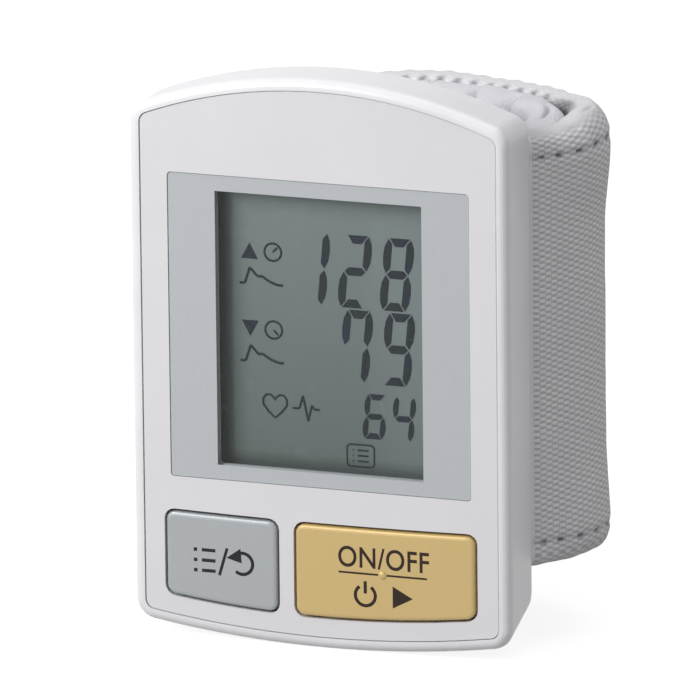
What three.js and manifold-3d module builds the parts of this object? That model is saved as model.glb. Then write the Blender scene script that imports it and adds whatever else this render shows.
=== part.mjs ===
// Wrist blood pressure monitor: white casing with a display and two keys, and a padded wrist cuff
// stowed behind it. Millimetres, +Z up, +X to the right of someone who reads the display, which faces -Y.
// The pieces are written from the casing's front plane, where Y is zero, and the whole is then moved so
// that the origin lies under the middle of the part.
import * as THREE from "three";
import { mergeVertices } from "three/addons/utils/BufferGeometryUtils.js";
import Module from "manifold-3d";

const wasm = await Module();
wasm.setup();

// Clearances that the whole part shares
const seatGap = 0.3; // between pieces that rest on each other
const overrun = 2; // how far a cutting tool runs past the face that it cuts
const weldDistance = 0.0004; // vertices closer than this are one
const smallestCorner = 0.5;

// Shells
const wall = 1.6;
const rimRound = 1.5; // round between the front rim and the sides
const rimWidth = 1.75; // from the side to the gap round the face panel
const backRimDepth = 1.1; // the rear shell's edge that shows behind the front shell
const backRimInset = 0.25;
const backRimRound = 0.5;
const standAngle = THREE.MathUtils.degToRad(22); // the underside rises to the back by this
const lipThickness = 1;
const lipDepth = 1.1;

// Face panel, window and display module, from the front backwards
const panelRecess = 0.15;
const panelThickness = 1.5;
const panelEdgeRound = 0.1;
const panelFit = 0.12; // gap round it
const frontWall = 1.3;
const windowCorner = 0.6;
const windowFit = 0.1;
const windowRecess = 0.15;
const windowThickness = 0.8;
const maskThickness = 0.3;
const viewMargin = 1; // the hole in the casing is this much wider than the view
const glassThickness = 2.1;
const reflectorThickness = 0.3;
const reflectorMargin = 2.6; // strips of bare glass above and below it for the connectors
const frameWall = 1.6;
const frameLedge = 1.8;
const frameFloor = 0.6;
const stripHeight = 1.4;
const fenceWall = 1;
const fenceDepth = 2.4;

// Keys
const keyRise = 5.05; // the keys' lower edge follows the casing's, this far above it
const keyTopZ = 19.25;
const keyTopRadius = 900;
const keyCorner = 1.4;
const keyProud = 0.35; // above the panel
const keyRound = 0.65;
const keySlot = 0.35; // gap round each key
const keyFlange = 0.6;
const keyFlangeThickness = 0.8;
const keyTravel = 0.5;
const keyShell = 1.4;
const keyPostRadius = 2;
const nubRadius = 0.65;
const nubHeight = 0.3;
const domeRadius = 3;
const domeWall = 0.7;
const domeTipRadius = 2;
const matThickness = 0.8;
const matMargin = 1.2;
const pillRadius = 1.4;
const pillThickness = 0.5;

// Circuit board and what is soldered to it
const boardThickness = 1.4;
const boardInset = 3.35;
const boardToEdge = 0.35; // from the board's back to the front shell's edge
const chipWidth = 9;
const chipThickness = 1.4;
const sensorWidth = 7;
const sensorThickness = 2.6;
const sensorPortRadius = 1.1;
const sensorPortLength = 1.5;
const sensorLift = 6.1; // above the air block
const crystalRadius = 1;
const crystalLength = 6;
const sounderRadius = 5.5;
const sounderThickness = 2.4;
const sounderHoleRadius = 1;
const capacitorRadius = 2;
const capacitorLength = 8;
const componentGap = 0.6;

// Screws that hold the two shells together
const screwShaftRadius = 0.95;
const screwHeadRadius = 1.65;
const screwHeadThickness = 0.85;
const screwHeadFlatRadius = 1.3;
const screwLength = 5;
const screwClearance = 0.2;
const screwRecess = 1.15;
const screwDriveRadius = 0.7;
const screwDriveDepth = 0.5;
const postRadius = 2.3;
const postFromSide = 4.75;
const postFromTop = 11.1;
const postOverKeys = 4.35;

// Rear tub, cells and cover
const tubTopRadius = 240;
const tubBottomRadius = 600;
const tubStep = 0.9; // the tub's underside stands this much above the rim's
const tubCorner = 1.5;
const tubWall = 1.5;
const tubBackWall = 1.3;
const tubBackRound = 1;
const tubUnderTop = 7.1; // the tub's top stands this much under the casing's
const tubFromSide = 8.15;
const cellRadius = 5.25;
const cellLength = 42.6;
const cellNubRadius = 1.9;
const cellNubLength = 1;
const cellEdgeRound = 0.5;
const cellGap = 0.4;
const cellFromBoard = 0.45;
const underCells = 14.2;
const aboveCells = 30.9; // for the sounder, the sensor and the air path
const partitionWall = 1.4;
const contactThickness = 0.4;
const contactWidth = 7.4;
const contactTongue = 1.1;
const springTurns = 3.5;
const springWire = 0.5;
const springBaseRadius = 3.3;
const springTipRadius = 1.8;
const springLegGap = 0.25;
const coverPinRadius = 0.55;
const coverPinLength = 0.5;
const coverPinClearance = 0.25;
const coverPinToEdge = 2.1; // from the hatch's back edge, so that the cover clears it as it swings
const coverRibWidth = 1.5;
const coverGripWidth = 8;
const coverGripDepth = 0.5;
const coverGripPitch = 1.6;
const coverGripCount = 3;
const coverGripRadius = 0.6;

// Pump, valve and air path
const pumpBayWidth = 17.8;
const motorRadius = 5;
const motorFlat = 0.8;
const motorLiftZ = 15.6;
const cradleWall = 1.2;
const cradleShares = [0.22, 0.78];
const headWidth = 11;
const headDepth = 9.6;
const headLength = 13;
const headCorner = 1.6;
const headGap = 0.9;
const portRadius = 1.1;
const portLength = 3;
const valveRadius = 3.3;
const valveLength = 10;
const valveUnderBlock = 7.4;
const valvePoleRadius = 2.6;
const valvePoleLength = 1.2;
const blockWidth = 8;
const blockDepth = 7;
const blockHeight = 6;
const blockUnderBay = 1.4;
const blockPortPitch = 4.4;
const hoseRadius = 1.6;
const pumpHoseRun = 7.9;
const hoseLift = 4;
const nippleRadius = 1.9;
const nippleBore = 1;
const nippleFlangeRadius = 3;
const nippleFlangeThickness = 0.8;

// Cuff
const cuffLowZ = 12.3;
const cuffUnderTop = 8; // the cuff's top stands this much under the casing's
const bandThickness = 5.2;
const bandEdgeRound = 2.2;
const seamInset = 4;
const seamWidth = 0.6;
const seamDepth = 0.45;
const bandCrown = 0.35;
const edgeFlare = 0.45;
const flareGrowthShare = 0.08; // the edges flare fully from here on, as a share of the band's length
const endNarrowing = 2.3; // above and below, towards the free end
const narrowStartShare = 0.66;
const narrowEndShare = 0.86;
const edgeWaves = 17;
const edgeWaveHeight = 0.3;
const rootFromSide = 1.05; // hinge line of the band, inwards from the casing's right side
const rootBehindCase = 0.3; // clear space between the casing and the band's round root
const bulgeOut = 4.5; // how far the band bulges past its root
const bulgeBehindTub = 3.6;
const wristRoom = 21.2; // from the tub's back to the band's middle line behind it
const rootLeadShare = 0.55; // how straight the band leaves the casing, as a share of the bulge's reach
const bulgeLead = 6.4;
const apexLead = 11;
const padThickness = 6.3;
const padPuckers = 8;
const padPuckerShare = 0.22;
const padEndShareOfFullness = 0.45; // how full the lining still is at its ends
const padCrown = 0.5;
const padEdgeRound = 1.9;
const padLowerBy = 0.7; // the lining's edges lie this much inside the band's at its fullest
const padGather = 1.2; // and this much more where it is drawn in
const padStartShare = 0.034; // along the band, from its root
const padEndShare = 0.72;
const pocketInset = 4.6;
const pocketEndShare = 0.02; // of the band's length, solid lining at each end of the pocket
const stayThickness = 0.8;
const bladderThickness = 2;
const tabStartShare = 0.865;
const tabEndTaper = 3;
const tabThinShare = 0.5;
const knuckleGap = 0.35;
const knuckleOpenShare = 0.9; // of the half thickness, how far the socket stays from the hinge line
const hookThickness = 0.5;
const hookInset = 7;
const hookStartShare = 0.28;
const hookEndShare = 0.86;
const clampWidth = 3.4;
const clampDepth = 4.4;
const clampRound = 0.8;
const plateThickness = 1;
const plateInset = 1.5;
const plateCorner = 4;
const stakeRadius = 1.2;
const stakeInsetX = 5;
const stakeInsetZ = 7;
const liningThickness = 1.7;
const liningRound = 0.6;
const liningRibs = 5;
const liningRibDepth = 0.5;
const flapThickness = 3.8;
const flapReach = 16.5;
const flapInset = 2; // inwards from the band's root
const flapLean = 4.3; // how far its tip leans inwards
const flapBend = 0.9;
const flapTipThinShare = 0.33;

// Steps that round shapes are drawn with
const steps = {
  corner: 4, caseCorner: 7, topArc: 22, bottomArc: 20, rim: 6, key: 4, keyEdge: 5, circle: 20,
  small: 12, band: 46, pad: 40, flap: 16, spring: 9, springSection: 5, hose: 10, hoseSides: 8, hook: 6,
  capTurns: 3,
};

// Levels from the front plane backwards, each resting on the one before
const panelY = panelRecess;
const panelBackY = panelY + panelThickness;
const ledgeY = panelBackY + seatGap;
const cavityY = ledgeY + frontWall;
const windowY = panelY + windowRecess;
const maskY = windowY + windowThickness + seatGap;
const keyFrontY = panelY - keyProud;
const flangeY = cavityY + seatGap;
const flangeBackY = flangeY + keyFlangeThickness;
const glassY = cavityY + seatGap;
const reflectorY = glassY + glassThickness + seatGap;
const frameLedgeY = reflectorY + reflectorThickness + seatGap;
const frameBackY = frameLedgeY + frameFloor;
const boardY = frameBackY + seatGap;
const boardBackY = boardY + boardThickness;
const matY = boardY - seatGap - matThickness;
const domeY = flangeBackY + keyTravel + seatGap;
const cellY = boardBackY + cellFromBoard + cellRadius;
const shellDepth = boardBackY + boardToEdge;
const rearY = shellDepth + seatGap;
const rimBackY = rearY + backRimDepth;
const tubInnerBackY = cellY + cellRadius + seatGap;
const tubBackY = tubInnerBackY + tubBackWall;
const screwHeadY = rimBackY - screwRecess;
const postEndY = screwHeadY - screwRecess;
const bandHalf = bandThickness / 2;
const rootY = rimBackY + rootBehindCase + bandHalf;
const bulgeY = tubBackY + bulgeBehindTub;
const apexY = tubBackY + wristRoom;
const cuffPlateY = tubBackY + seatGap;
const liningY = cuffPlateY + plateThickness + seatGap;

// Heights, which follow from the cells
const cellTopZ = underCells + cellLength;
const bayTopZ = cellTopZ + cellNubLength + seatGap + contactThickness + seatGap;
const upperRoomZ = bayTopZ + partitionWall;
const caseHeight = cellTopZ + aboveCells;
const caseTopRadius = 78.8;
const caseBottomRadius = 175;
const caseCorner = 3.4;
const tubTopZ = caseHeight - tubUnderTop;
const cuffTopZ = caseHeight - cuffUnderTop;
const cuffHeight = cuffTopZ - cuffLowZ;
const cuffMiddleZ = (cuffLowZ + cuffTopZ) / 2;

// Widths, which follow from the cells beside the pump
const bayWidth = 4 * cellRadius + 2 * cellGap;
const tubHalfWidth = (2 * tubWall + cellGap / 2 + bayWidth + partitionWall + pumpBayWidth) / 2;
const caseWidth = 2 * (tubHalfWidth + tubFromSide);
const bayLeft = -tubHalfWidth + tubWall + cellGap / 2;
const bayRight = bayLeft + bayWidth;
const cellXs = [bayLeft + cellGap / 2 + cellRadius, bayRight - cellGap / 2 - cellRadius];
const motorX = bayRight + partitionWall + headGap + headWidth / 2;
const valveX = tubHalfWidth - tubWall - seatGap - valveRadius;
const rootX = caseWidth / 2 - rootFromSide;
const bulgeX = rootX + bulgeOut;

// The pump and the air path, downwards from the bay's top: the motor fills the height that is left
const blockZ = bayTopZ - blockUnderBay;
const blockTopZ = blockZ + blockHeight + seatGap;
const pumpHoseZ = blockZ - seatGap - pumpHoseRun;
const headTopZ = pumpHoseZ - seatGap - portLength;
const headZ = headTopZ - headLength;
const motorLength = headZ - seatGap - motorLiftZ;
const valveZ = blockZ - valveUnderBlock;
const sensorZ = blockTopZ + sensorLift;
const blockBackY = tubInnerBackY - seatGap - nippleFlangeThickness - seatGap;
const hoseY = blockBackY - blockDepth / 2;

// Window and display, inside the face
const windowFromSide = 6.15;
const windowUnderTop = 15.65;
const windowOverKeys = 5.7;
const maskSide = 7.6;
const maskFoot = 2.32;
const maskHead = 2.48;
const glassSide = 2.7;
const glassEnd = 2.35;
const stripEnd = 3.2;
const windowHalf = caseWidth / 2 - windowFromSide;
const windowLowZ = keyTopZ + windowOverKeys;
const windowTopZ = caseHeight - windowUnderTop;
const viewHalf = windowHalf - maskSide;
const viewLowZ = windowLowZ + maskFoot;
const viewTopZ = windowTopZ - maskHead;
const glassHalf = viewHalf + glassSide;
const glassLowZ = viewLowZ - glassEnd;
const glassTopZ = viewTopZ + glassEnd;

// Places along the face
const keySideGaps = [5.38, 5.55]; // from the casing's sides to the keys
const keySplitShare = -0.0917; // of the casing's width, where the two keys part
const keyPartHalf = 1.5;
const nubShare = 0.165; // of the casing's width, to the right
const nubSinkShare = 0.48; // of the keys' height, from their top
const keySplitX = caseWidth * keySplitShare;
const keyEdges = {
  memory: [keySideGaps[0] - caseWidth / 2, keySplitX - keyPartHalf],
  start: [keySplitX + keyPartHalf, caseWidth / 2 - keySideGaps[1]],
};
const nubPlace = { x: caseWidth * nubShare, z: keyTopZ - (keyTopZ - keyRise) * nubSinkShare };
const postX = caseWidth / 2 - postFromSide;
const postZs = [keyTopZ + postOverKeys, caseHeight - postFromTop];

// Outlines, as lists of points [across, up]

function arc(x, z, radius, from, to, count) {
  const points = [];
  for (let i = 0; i <= count; i++) {
    const turn = from + ((to - from) * i) / count;
    points.push([x + radius * Math.cos(turn), z + radius * Math.sin(turn)]);
  }
  return points;
}

function circle(x, z, radius, count = steps.circle) {
  return arc(x, z, radius, 0, 2 * Math.PI, count).slice(1);
}

function roundedRectangle(x0, x1, z0, z1, radius, count = steps.corner, edgeSteps = 1) {
  const corners = [
    [x1 - radius, z1 - radius],
    [x0 + radius, z1 - radius],
    [x0 + radius, z0 + radius],
    [x1 - radius, z0 + radius],
  ];
  const points = [];
  corners.forEach(([x, z], quarter) => {
    const turn = (quarter * Math.PI) / 2;
    const bend = arc(x, z, radius, turn, turn + Math.PI / 2, count);
    const last = points.at(-1);
    if (last && quarter % 2) {
      for (let i = 1; i < edgeSteps; i++) {
        const share = i / edgeSteps;
        points.push([last[0] + (bend[0][0] - last[0]) * share, bend[0][1]]);
      }
    }
    points.push(...bend);
  });
  return points;
}

// Straight sides between a top and a bottom arc, with rounded corners. The bottom arc bulges down.
function archedOutline({ half, top, topRadius, bottom, bottomRadius, corner }) {
  const topMiddle = top - topRadius;
  const bottomMiddle = bottom + bottomRadius;
  const across = half - corner;
  const topReach = Math.sqrt((topRadius - corner) ** 2 - across ** 2);
  const bottomReach = Math.sqrt((bottomRadius - corner) ** 2 - across ** 2);
  const topTurn = Math.atan2(topReach, across);
  const bottomTurn = Math.atan2(bottomReach, across);
  const upper = topMiddle + topReach;
  const lower = bottomMiddle - bottomReach;
  return [
    ...arc(across, upper, corner, 0, topTurn, steps.caseCorner),
    ...arc(0, topMiddle, topRadius, topTurn, Math.PI - topTurn, steps.topArc).slice(1, -1),
    ...arc(-across, upper, corner, Math.PI - topTurn, Math.PI, steps.caseCorner),
    ...arc(-across, lower, corner, Math.PI, Math.PI + bottomTurn, steps.caseCorner),
    ...arc(0, bottomMiddle, bottomRadius, Math.PI + bottomTurn, 2 * Math.PI - bottomTurn, steps.bottomArc)
      .slice(1, -1),
    ...arc(across, lower, corner, 2 * Math.PI - bottomTurn, 2 * Math.PI, steps.caseCorner),
  ];
}

// How far the underside has risen at a given depth
function lift(y) {
  return Math.max(0, y - rimRound) * Math.tan(standAngle);
}

function caseOutline(inset, y = 0) {
  return archedOutline({
    half: caseWidth / 2 - inset,
    top: caseHeight - inset,
    topRadius: caseTopRadius - inset,
    bottom: inset + lift(y),
    bottomRadius: caseBottomRadius - inset,
    corner: Math.max(caseCorner - inset, smallestCorner),
  });
}

function tubBottom(y) {
  return backRimInset + tubStep + lift(y);
}

function tubOutline(inset, y) {
  return archedOutline({
    half: tubHalfWidth - inset,
    top: tubTopZ - inset,
    topRadius: tubTopRadius,
    bottom: tubBottom(y) + inset,
    bottomRadius: tubBottomRadius,
    corner: Math.max(tubCorner - inset, smallestCorner),
  });
}

// A key's outline: a rounded rectangle bent to the casing's lower arc at its foot and a flatter one on top
function keyOutline([left, right], inset) {
  const corner = Math.max(keyCorner - inset, smallestCorner);
  const low = keyRise + inset;
  const high = keyTopZ - inset;
  const flat = roundedRectangle(left + inset, right - inset, low, high, corner, steps.key, steps.keyEdge);
  return flat.map(([x, z]) => {
    const share = (z - low) / (high - low);
    const sag = (1 - share) / caseBottomRadius + share / keyTopRadius;
    return [x, z + (x * x * sag) / 2];
  });
}

function windowOutline(inset) {
  const half = windowHalf - inset;
  const corner = Math.max(windowCorner - inset, smallestCorner);
  return roundedRectangle(-half, half, windowLowZ + inset, windowTopZ - inset, corner);
}

function viewOutline(margin) {
  const half = viewHalf + margin;
  return roundedRectangle(-half, half, viewLowZ - margin, viewTopZ + margin, smallestCorner);
}

// Solids

// Turns a closed geometry into a solid, with its faces pointing out
function solid(geometry) {
  const source = geometry.index ? geometry.toNonIndexed() : geometry;
  const plain = new THREE.BufferGeometry();
  plain.setAttribute("position", source.getAttribute("position"));
  const merged = mergeVertices(plain, weldDistance);
  const corners = new Uint32Array(merged.index.array);
  const place = merged.attributes.position;
  const [a, b, c] = [new THREE.Vector3(), new THREE.Vector3(), new THREE.Vector3()];
  let volume = 0;
  for (let i = 0; i < corners.length; i += 3) {
    a.fromBufferAttribute(place, corners[i]);
    b.fromBufferAttribute(place, corners[i + 1]);
    c.fromBufferAttribute(place, corners[i + 2]);
    volume += a.dot(b.cross(c));
  }
  if (volume < 0)
    for (let i = 0; i < corners.length; i += 3)
      [corners[i + 1], corners[i + 2]] = [corners[i + 2], corners[i + 1]];
  return new wasm.Manifold(new wasm.Mesh({ numProp: 3, vertProperties: place.array, triVerts: corners }));
}

function join(first, ...others) {
  return others.reduce((whole, piece) => whole.add(piece), first);
}

function cut(first, ...tools) {
  return tools.reduce((whole, tool) => whole.subtract(tool), first);
}

function extrude(outline, depth) {
  const shape = new THREE.Shape(outline.map(([x, y]) => new THREE.Vector2(x, y)));
  return new THREE.ExtrudeGeometry(shape, { depth, bevelEnabled: false, steps: 1 });
}

// An outline in X and Z, from one depth to another
function slab(outline, y0, y1) {
  return solid(extrude(outline, y1 - y0).rotateX(Math.PI / 2).translate(0, y1, 0));
}

// An outline in X and Y, from one height to another
function column(outline, z0, z1) {
  return solid(extrude(outline, z1 - z0).translate(0, 0, z0));
}

// An outline in Y and Z, from one side to another
function beam(outline, x0, x1) {
  const across = new THREE.Matrix4().makeBasis(
    new THREE.Vector3(0, 1, 0), new THREE.Vector3(0, 0, 1), new THREE.Vector3(1, 0, 0),
  );
  return solid(extrude(outline, x1 - x0).applyMatrix4(across).translate(x0, 0, 0));
}

function block(x0, x1, y0, y1, z0, z1) {
  const box = new THREE.BoxGeometry(x1 - x0, y1 - y0, z1 - z0);
  return solid(box.translate((x0 + x1) / 2, (y0 + y1) / 2, (z0 + z1) / 2));
}

// Turned pieces: profile points [radius, height] round an axis, which then lies along Y or Z
function turned(profile, sides = steps.circle) {
  return new THREE.LatheGeometry(profile.map(([r, h]) => new THREE.Vector2(r, h)), sides);
}

function turnedAlongY(profile, x, z, sides) {
  return solid(turned(profile, sides).translate(x, 0, z));
}

function turnedAlongZ(profile, x, y, sides) {
  return solid(turned(profile, sides).rotateX(Math.PI / 2).translate(x, y, 0));
}

function rodAlongY(x, z, radius, y0, y1, sides) {
  return turnedAlongY([[0, y0], [radius, y0], [radius, y1], [0, y1]], x, z, sides);
}

function rodAlongZ(x, y, radius, z0, z1, sides) {
  return turnedAlongZ([[0, z0], [radius, z0], [radius, z1], [0, z1]], x, y, sides);
}

// A skin through rings of equally many points. Each end is closed over its own flat outline.
function loft(rings, flatOutline) {
  const count = rings[0].length;
  const position = rings.flat(2);
  const index = [];
  for (let ring = 0; ring + 1 < rings.length; ring++)
    for (let i = 0; i < count; i++) {
      const here = ring * count + i;
      const next = ring * count + ((i + 1) % count);
      index.push(here, next, next + count, here, next + count, here + count);
    }
  const flat = flatOutline.map(([x, y]) => new THREE.Vector2(x, y));
  const last = (rings.length - 1) * count;
  const clockwise = THREE.ShapeUtils.isClockWise(flat);
  for (const [p, q, r] of THREE.ShapeUtils.triangulateShape(flat, [])) {
    if (clockwise) index.push(p, q, r, last + p, last + r, last + q);
    else index.push(p, r, q, last + p, last + q, last + r);
  }
  const geometry = new THREE.BufferGeometry();
  geometry.setAttribute("position", new THREE.Float32BufferAttribute(position, 3));
  geometry.setIndex(index);
  return solid(geometry);
}

// A loft through outlines in X and Z, each at its own depth
function layered(layers) {
  const rings = layers.map(({ outline, y }) => outline.map(([x, z]) => [x, y, z]));
  return loft(rings, layers[0].outline);
}

const product = new THREE.Group();
const finishes = {
  whitePlastic: { color: "#eeeff2", roughness: 0.35, metalness: 0 },
  panelPlastic: { color: "#dddde4", roughness: 0.4, metalness: 0 },
  clear: { color: "#dfe6e6", roughness: 0.05, metalness: 0, transparent: true, opacity: 0.3 },
  silverPrint: { color: "#bcc0c4", roughness: 0.4, metalness: 0.2 },
  displayGlass: { color: "#8f9a96", roughness: 0.3, metalness: 0 },
  reflector: { color: "#9aa39d", roughness: 0.4, metalness: 0.3 },
  innerPlastic: { color: "#c9cacc", roughness: 0.6, metalness: 0 },
  silverKey: { color: "#b4babf", roughness: 0.35, metalness: 0.5 },
  goldKey: { color: "#dcb979", roughness: 0.35, metalness: 0.4 },
  darkRubber: { color: "#3a3c3f", roughness: 0.8, metalness: 0 },
  board: { color: "#2f6b46", roughness: 0.5, metalness: 0 },
  darkPackage: { color: "#26272a", roughness: 0.5, metalness: 0 },
  steel: { color: "#b9bcc0", roughness: 0.3, metalness: 1 },
  brass: { color: "#c9a65a", roughness: 0.35, metalness: 1 },
  cellJacket: { color: "#4f6f8f", roughness: 0.35, metalness: 0.3 },
  hose: { color: "#d8d8d4", roughness: 0.5, metalness: 0 },
  wovenCloth: { color: "#a9a9ae", roughness: 0.95, metalness: 0 },
  liningCloth: { color: "#c6c6cb", roughness: 0.95, metalness: 0 },
  hookPad: { color: "#8d8e94", roughness: 0.9, metalness: 0 },
  bladder: { color: "#c8b9a0", roughness: 0.6, metalness: 0 },
};
const materials = Object.fromEntries(
  Object.entries(finishes).map(([name, finish]) => [name, new THREE.MeshStandardMaterial(finish)]),
);

function add(name, body, material) {
  const { vertProperties, triVerts, numProp } = body.getMesh();
  const geometry = new THREE.BufferGeometry();
  const place = new Float32Array((vertProperties.length / numProp) * 3);
  for (let i = 0; i < place.length / 3; i++)
    for (let axis = 0; axis < 3; axis++) place[i * 3 + axis] = vertProperties[i * numProp + axis];
  geometry.setAttribute("position", new THREE.BufferAttribute(place, 3));
  geometry.setIndex(new THREE.BufferAttribute(new Uint32Array(triVerts), 1));
  geometry.computeVertexNormals();
  const mesh = new THREE.Mesh(geometry, materials[material]);
  mesh.name = name;
  product.add(mesh);
}

const screwPlaces = [-postX, postX].flatMap((x) => postZs.map((z) => ({ x, z })));

// Front shell: the white bezel, its front wall with openings for display and keys, and four screw posts
function frontShell() {
  const outerLayers = [];
  for (let i = 0; i <= steps.rim; i++) {
    const turn = ((Math.PI / 2) * i) / steps.rim;
    const y = rimRound * (1 - Math.cos(turn));
    outerLayers.push({ outline: caseOutline(rimRound * (1 - Math.sin(turn)), y), y });
  }
  outerLayers.push({ outline: caseOutline(0, shellDepth), y: shellDepth });
  const hollow = layered([
    { outline: caseOutline(wall, cavityY), y: cavityY },
    { outline: caseOutline(wall, shellDepth + overrun), y: shellDepth + overrun },
  ]);
  const shell = cut(
    layered(outerLayers),
    hollow,
    slab(caseOutline(rimWidth), -overrun, ledgeY),
    slab(viewOutline(viewMargin), -overrun, cavityY + overrun),
    ...Object.values(keyEdges).map((edges) =>
      slab(keyOutline(edges, -keySlot), -overrun, cavityY + overrun)),
  );
  const posts = screwPlaces.map(({ x, z }) =>
    cut(
      rodAlongY(x, z, postRadius, cavityY - frontWall / 2, postEndY),
      rodAlongY(x, z, screwShaftRadius + screwClearance, postEndY - screwLength, postEndY + overrun,
        steps.small),
    ));
  return join(shell, ...posts, displayFence());
}

// Low wall round the display module that keeps it in place behind the front wall
function displayFence() {
  const inner = frameOutline(seatGap);
  const outer = frameOutline(seatGap + fenceWall);
  const start = cavityY - frontWall / 2;
  return cut(slab(outer, start, cavityY + fenceDepth), slab(inner, start - overrun, cavityY + fenceDepth
    + overrun));
}

function frameOutline(margin) {
  return glassOutline(seatGap + frameWall + margin);
}

function glassOutline(margin, ends = margin) {
  const half = glassHalf + margin;
  return roundedRectangle(-half, half, glassLowZ - ends, glassTopZ + ends, smallestCorner, 2);
}

function facePanel() {
  const edge = rimWidth + panelFit;
  return cut(
    layered([
      { outline: caseOutline(edge + panelEdgeRound), y: panelY },
      { outline: caseOutline(edge), y: panelY + panelEdgeRound },
      { outline: caseOutline(edge), y: panelBackY },
    ]),
    slab(windowOutline(0), -overrun, panelBackY + overrun),
    ...Object.values(keyEdges).map((edges) =>
      slab(keyOutline(edges, -keySlot), -overrun, panelBackY + overrun)),
  );
}

add("front_housing", frontShell(), "whitePlastic");
add("face_panel", facePanel(), "panelPlastic");
add("display_window", slab(windowOutline(windowFit), windowY, windowY + windowThickness), "clear");
add(
  "window_mask",
  cut(
    slab(windowOutline(windowFit), maskY, maskY + maskThickness),
    slab(viewOutline(0), maskY - overrun, maskY + maskThickness + overrun),
  ),
  "silverPrint",
);

// Display module: a frame that holds the glass and its reflector, with connector strips to the board
const stripHalf = glassHalf - stripEnd;
const stripZs = { lower: glassLowZ + stripHeight, upper: glassTopZ - stripHeight };
function strip(z, margin, y0, y1) {
  const half = stripHeight / 2 + margin;
  return block(-stripHalf - margin, stripHalf + margin, y0, y1, z - half, z + half);
}

add(
  "lcd_frame",
  cut(
    slab(frameOutline(0), glassY, frameBackY),
    slab(glassOutline(seatGap), glassY - overrun, frameLedgeY),
    slab(glassOutline(-frameLedge, -frameLedge - reflectorMargin), glassY, frameBackY + overrun),
    ...Object.values(stripZs).map((z) => strip(z, seatGap, frameLedgeY - overrun, frameBackY + overrun)),
  ),
  "innerPlastic",
);
add("lcd_glass", slab(glassOutline(0), glassY, glassY + glassThickness), "displayGlass");
add("lcd_reflector", slab(glassOutline(0, -reflectorMargin), reflectorY, reflectorY + reflectorThickness),
  "reflector");
for (const [name, z] of Object.entries(stripZs))
  add("connector_strip_" + name, strip(z, 0, glassY + glassThickness + seatGap, boardY - seatGap),
    "darkRubber");

// Keys: hollow caps with a flange behind the front wall and a post over the rubber dome
function keyMiddle([left, right]) {
  return { x: (left + right) / 2, z: (keyRise + keyTopZ) / 2 };
}

function key(edges) {
  const layers = [];
  for (let i = 0; i <= steps.key; i++) {
    const turn = ((Math.PI / 2) * i) / steps.key;
    layers.push({
      outline: keyOutline(edges, keyRound * (1 - Math.sin(turn))),
      y: keyFrontY + keyRound * (1 - Math.cos(turn)),
    });
  }
  layers.push({ outline: keyOutline(edges, 0), y: flangeBackY });
  const flange = slab(keyOutline(edges, -keyFlange), flangeY, flangeBackY);
  const hollow = slab(keyOutline(edges, keyShell), keyFrontY + keyShell, flangeBackY + overrun);
  const { x, z } = keyMiddle(edges);
  const post = rodAlongY(x, z, keyPostRadius, keyFrontY + keyShell / 2, flangeBackY, steps.small);
  return join(cut(join(layered(layers), flange), hollow), post);
}

function nub() {
  const profile = [[0, keyFrontY - nubHeight]];
  for (let i = 1; i <= steps.key; i++) {
    const turn = ((Math.PI / 2) * i) / steps.key;
    profile.push([nubRadius * Math.sin(turn), keyFrontY - nubHeight * Math.cos(turn)]);
  }
  profile.push([nubRadius, keyFrontY + keyShell / 2], [0, keyFrontY + keyShell / 2]);
  return turnedAlongY(profile, nubPlace.x, nubPlace.z, steps.small);
}

add("memory_key", key(keyEdges.memory), "silverKey");
add("start_key", join(key(keyEdges.start), nub()), "goldKey");

// Rubber mat under the keys: a sheet on the board with a hollow dome and a contact pill for each
function keypadMat() {
  const left = keyEdges.memory[0] - keyFlange;
  const right = keyEdges.start[1] + keyFlange;
  const low = keyRise - keyFlange + lift(boardY);
  const sheet = slab(roundedRectangle(left, right, low, keyTopZ + matMargin, keyCorner), matY,
    matY + matThickness);
  const domes = Object.values(keyEdges).map((edges) => {
    const { x, z } = keyMiddle(edges);
    return turnedAlongY([[0, domeY], [domeTipRadius, domeY], [domeRadius, matY + matThickness / 2],
      [0, matY + matThickness / 2]], x, z);
  });
  const hollows = Object.values(keyEdges).map((edges) => {
    const { x, z } = keyMiddle(edges);
    const back = matY + matThickness + overrun;
    return turnedAlongY([[0, domeY + domeWall], [domeTipRadius, domeY + domeWall],
      [domeRadius - domeWall / 2, back], [0, back]], x, z);
  });
  return cut(join(sheet, ...domes), ...hollows);
}

add("keypad_mat", keypadMat(), "darkRubber");
for (const [name, edges] of Object.entries(keyEdges)) {
  const { x, z } = keyMiddle(edges);
  const front = domeY + domeWall + seatGap;
  add(name + "_contact_pill", rodAlongY(x, z, pillRadius, front, front + pillThickness, steps.small),
    "darkPackage");
}

// Circuit board, cut away round the screw posts, and its larger components
add(
  "main_board",
  cut(
    slab(caseOutline(boardInset, boardBackY), boardY, boardBackY),
    ...screwPlaces.map(({ x, z }) =>
      rodAlongY(x, z, postRadius + seatGap, boardY - overrun, boardBackY + overrun)),
  ),
  "board",
);
const partY = boardBackY + seatGap;
function squarePart(x, z, width, thickness) {
  return block(x - width / 2, x + width / 2, partY, partY + thickness, z - width / 2, z + width / 2);
}
const sounderPlace = {
  x: -tubHalfWidth + tubWall + componentGap + sounderRadius,
  z: upperRoomZ + componentGap + sounderRadius,
};
const capacitorX = sounderPlace.x + sounderRadius + seatGap + capacitorRadius;
const capacitorZ = upperRoomZ + componentGap;
const chipX = capacitorX + capacitorRadius + seatGap + chipWidth / 2;
const chipZ = upperRoomZ + componentGap + chipWidth / 2;
const crystalZ = chipZ + chipWidth / 2 + componentGap + crystalRadius;
const sensorX = chipX + chipWidth / 2 + componentGap + sensorWidth / 2;
add("processor_chip", squarePart(chipX, chipZ, chipWidth, chipThickness), "darkPackage");
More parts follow.
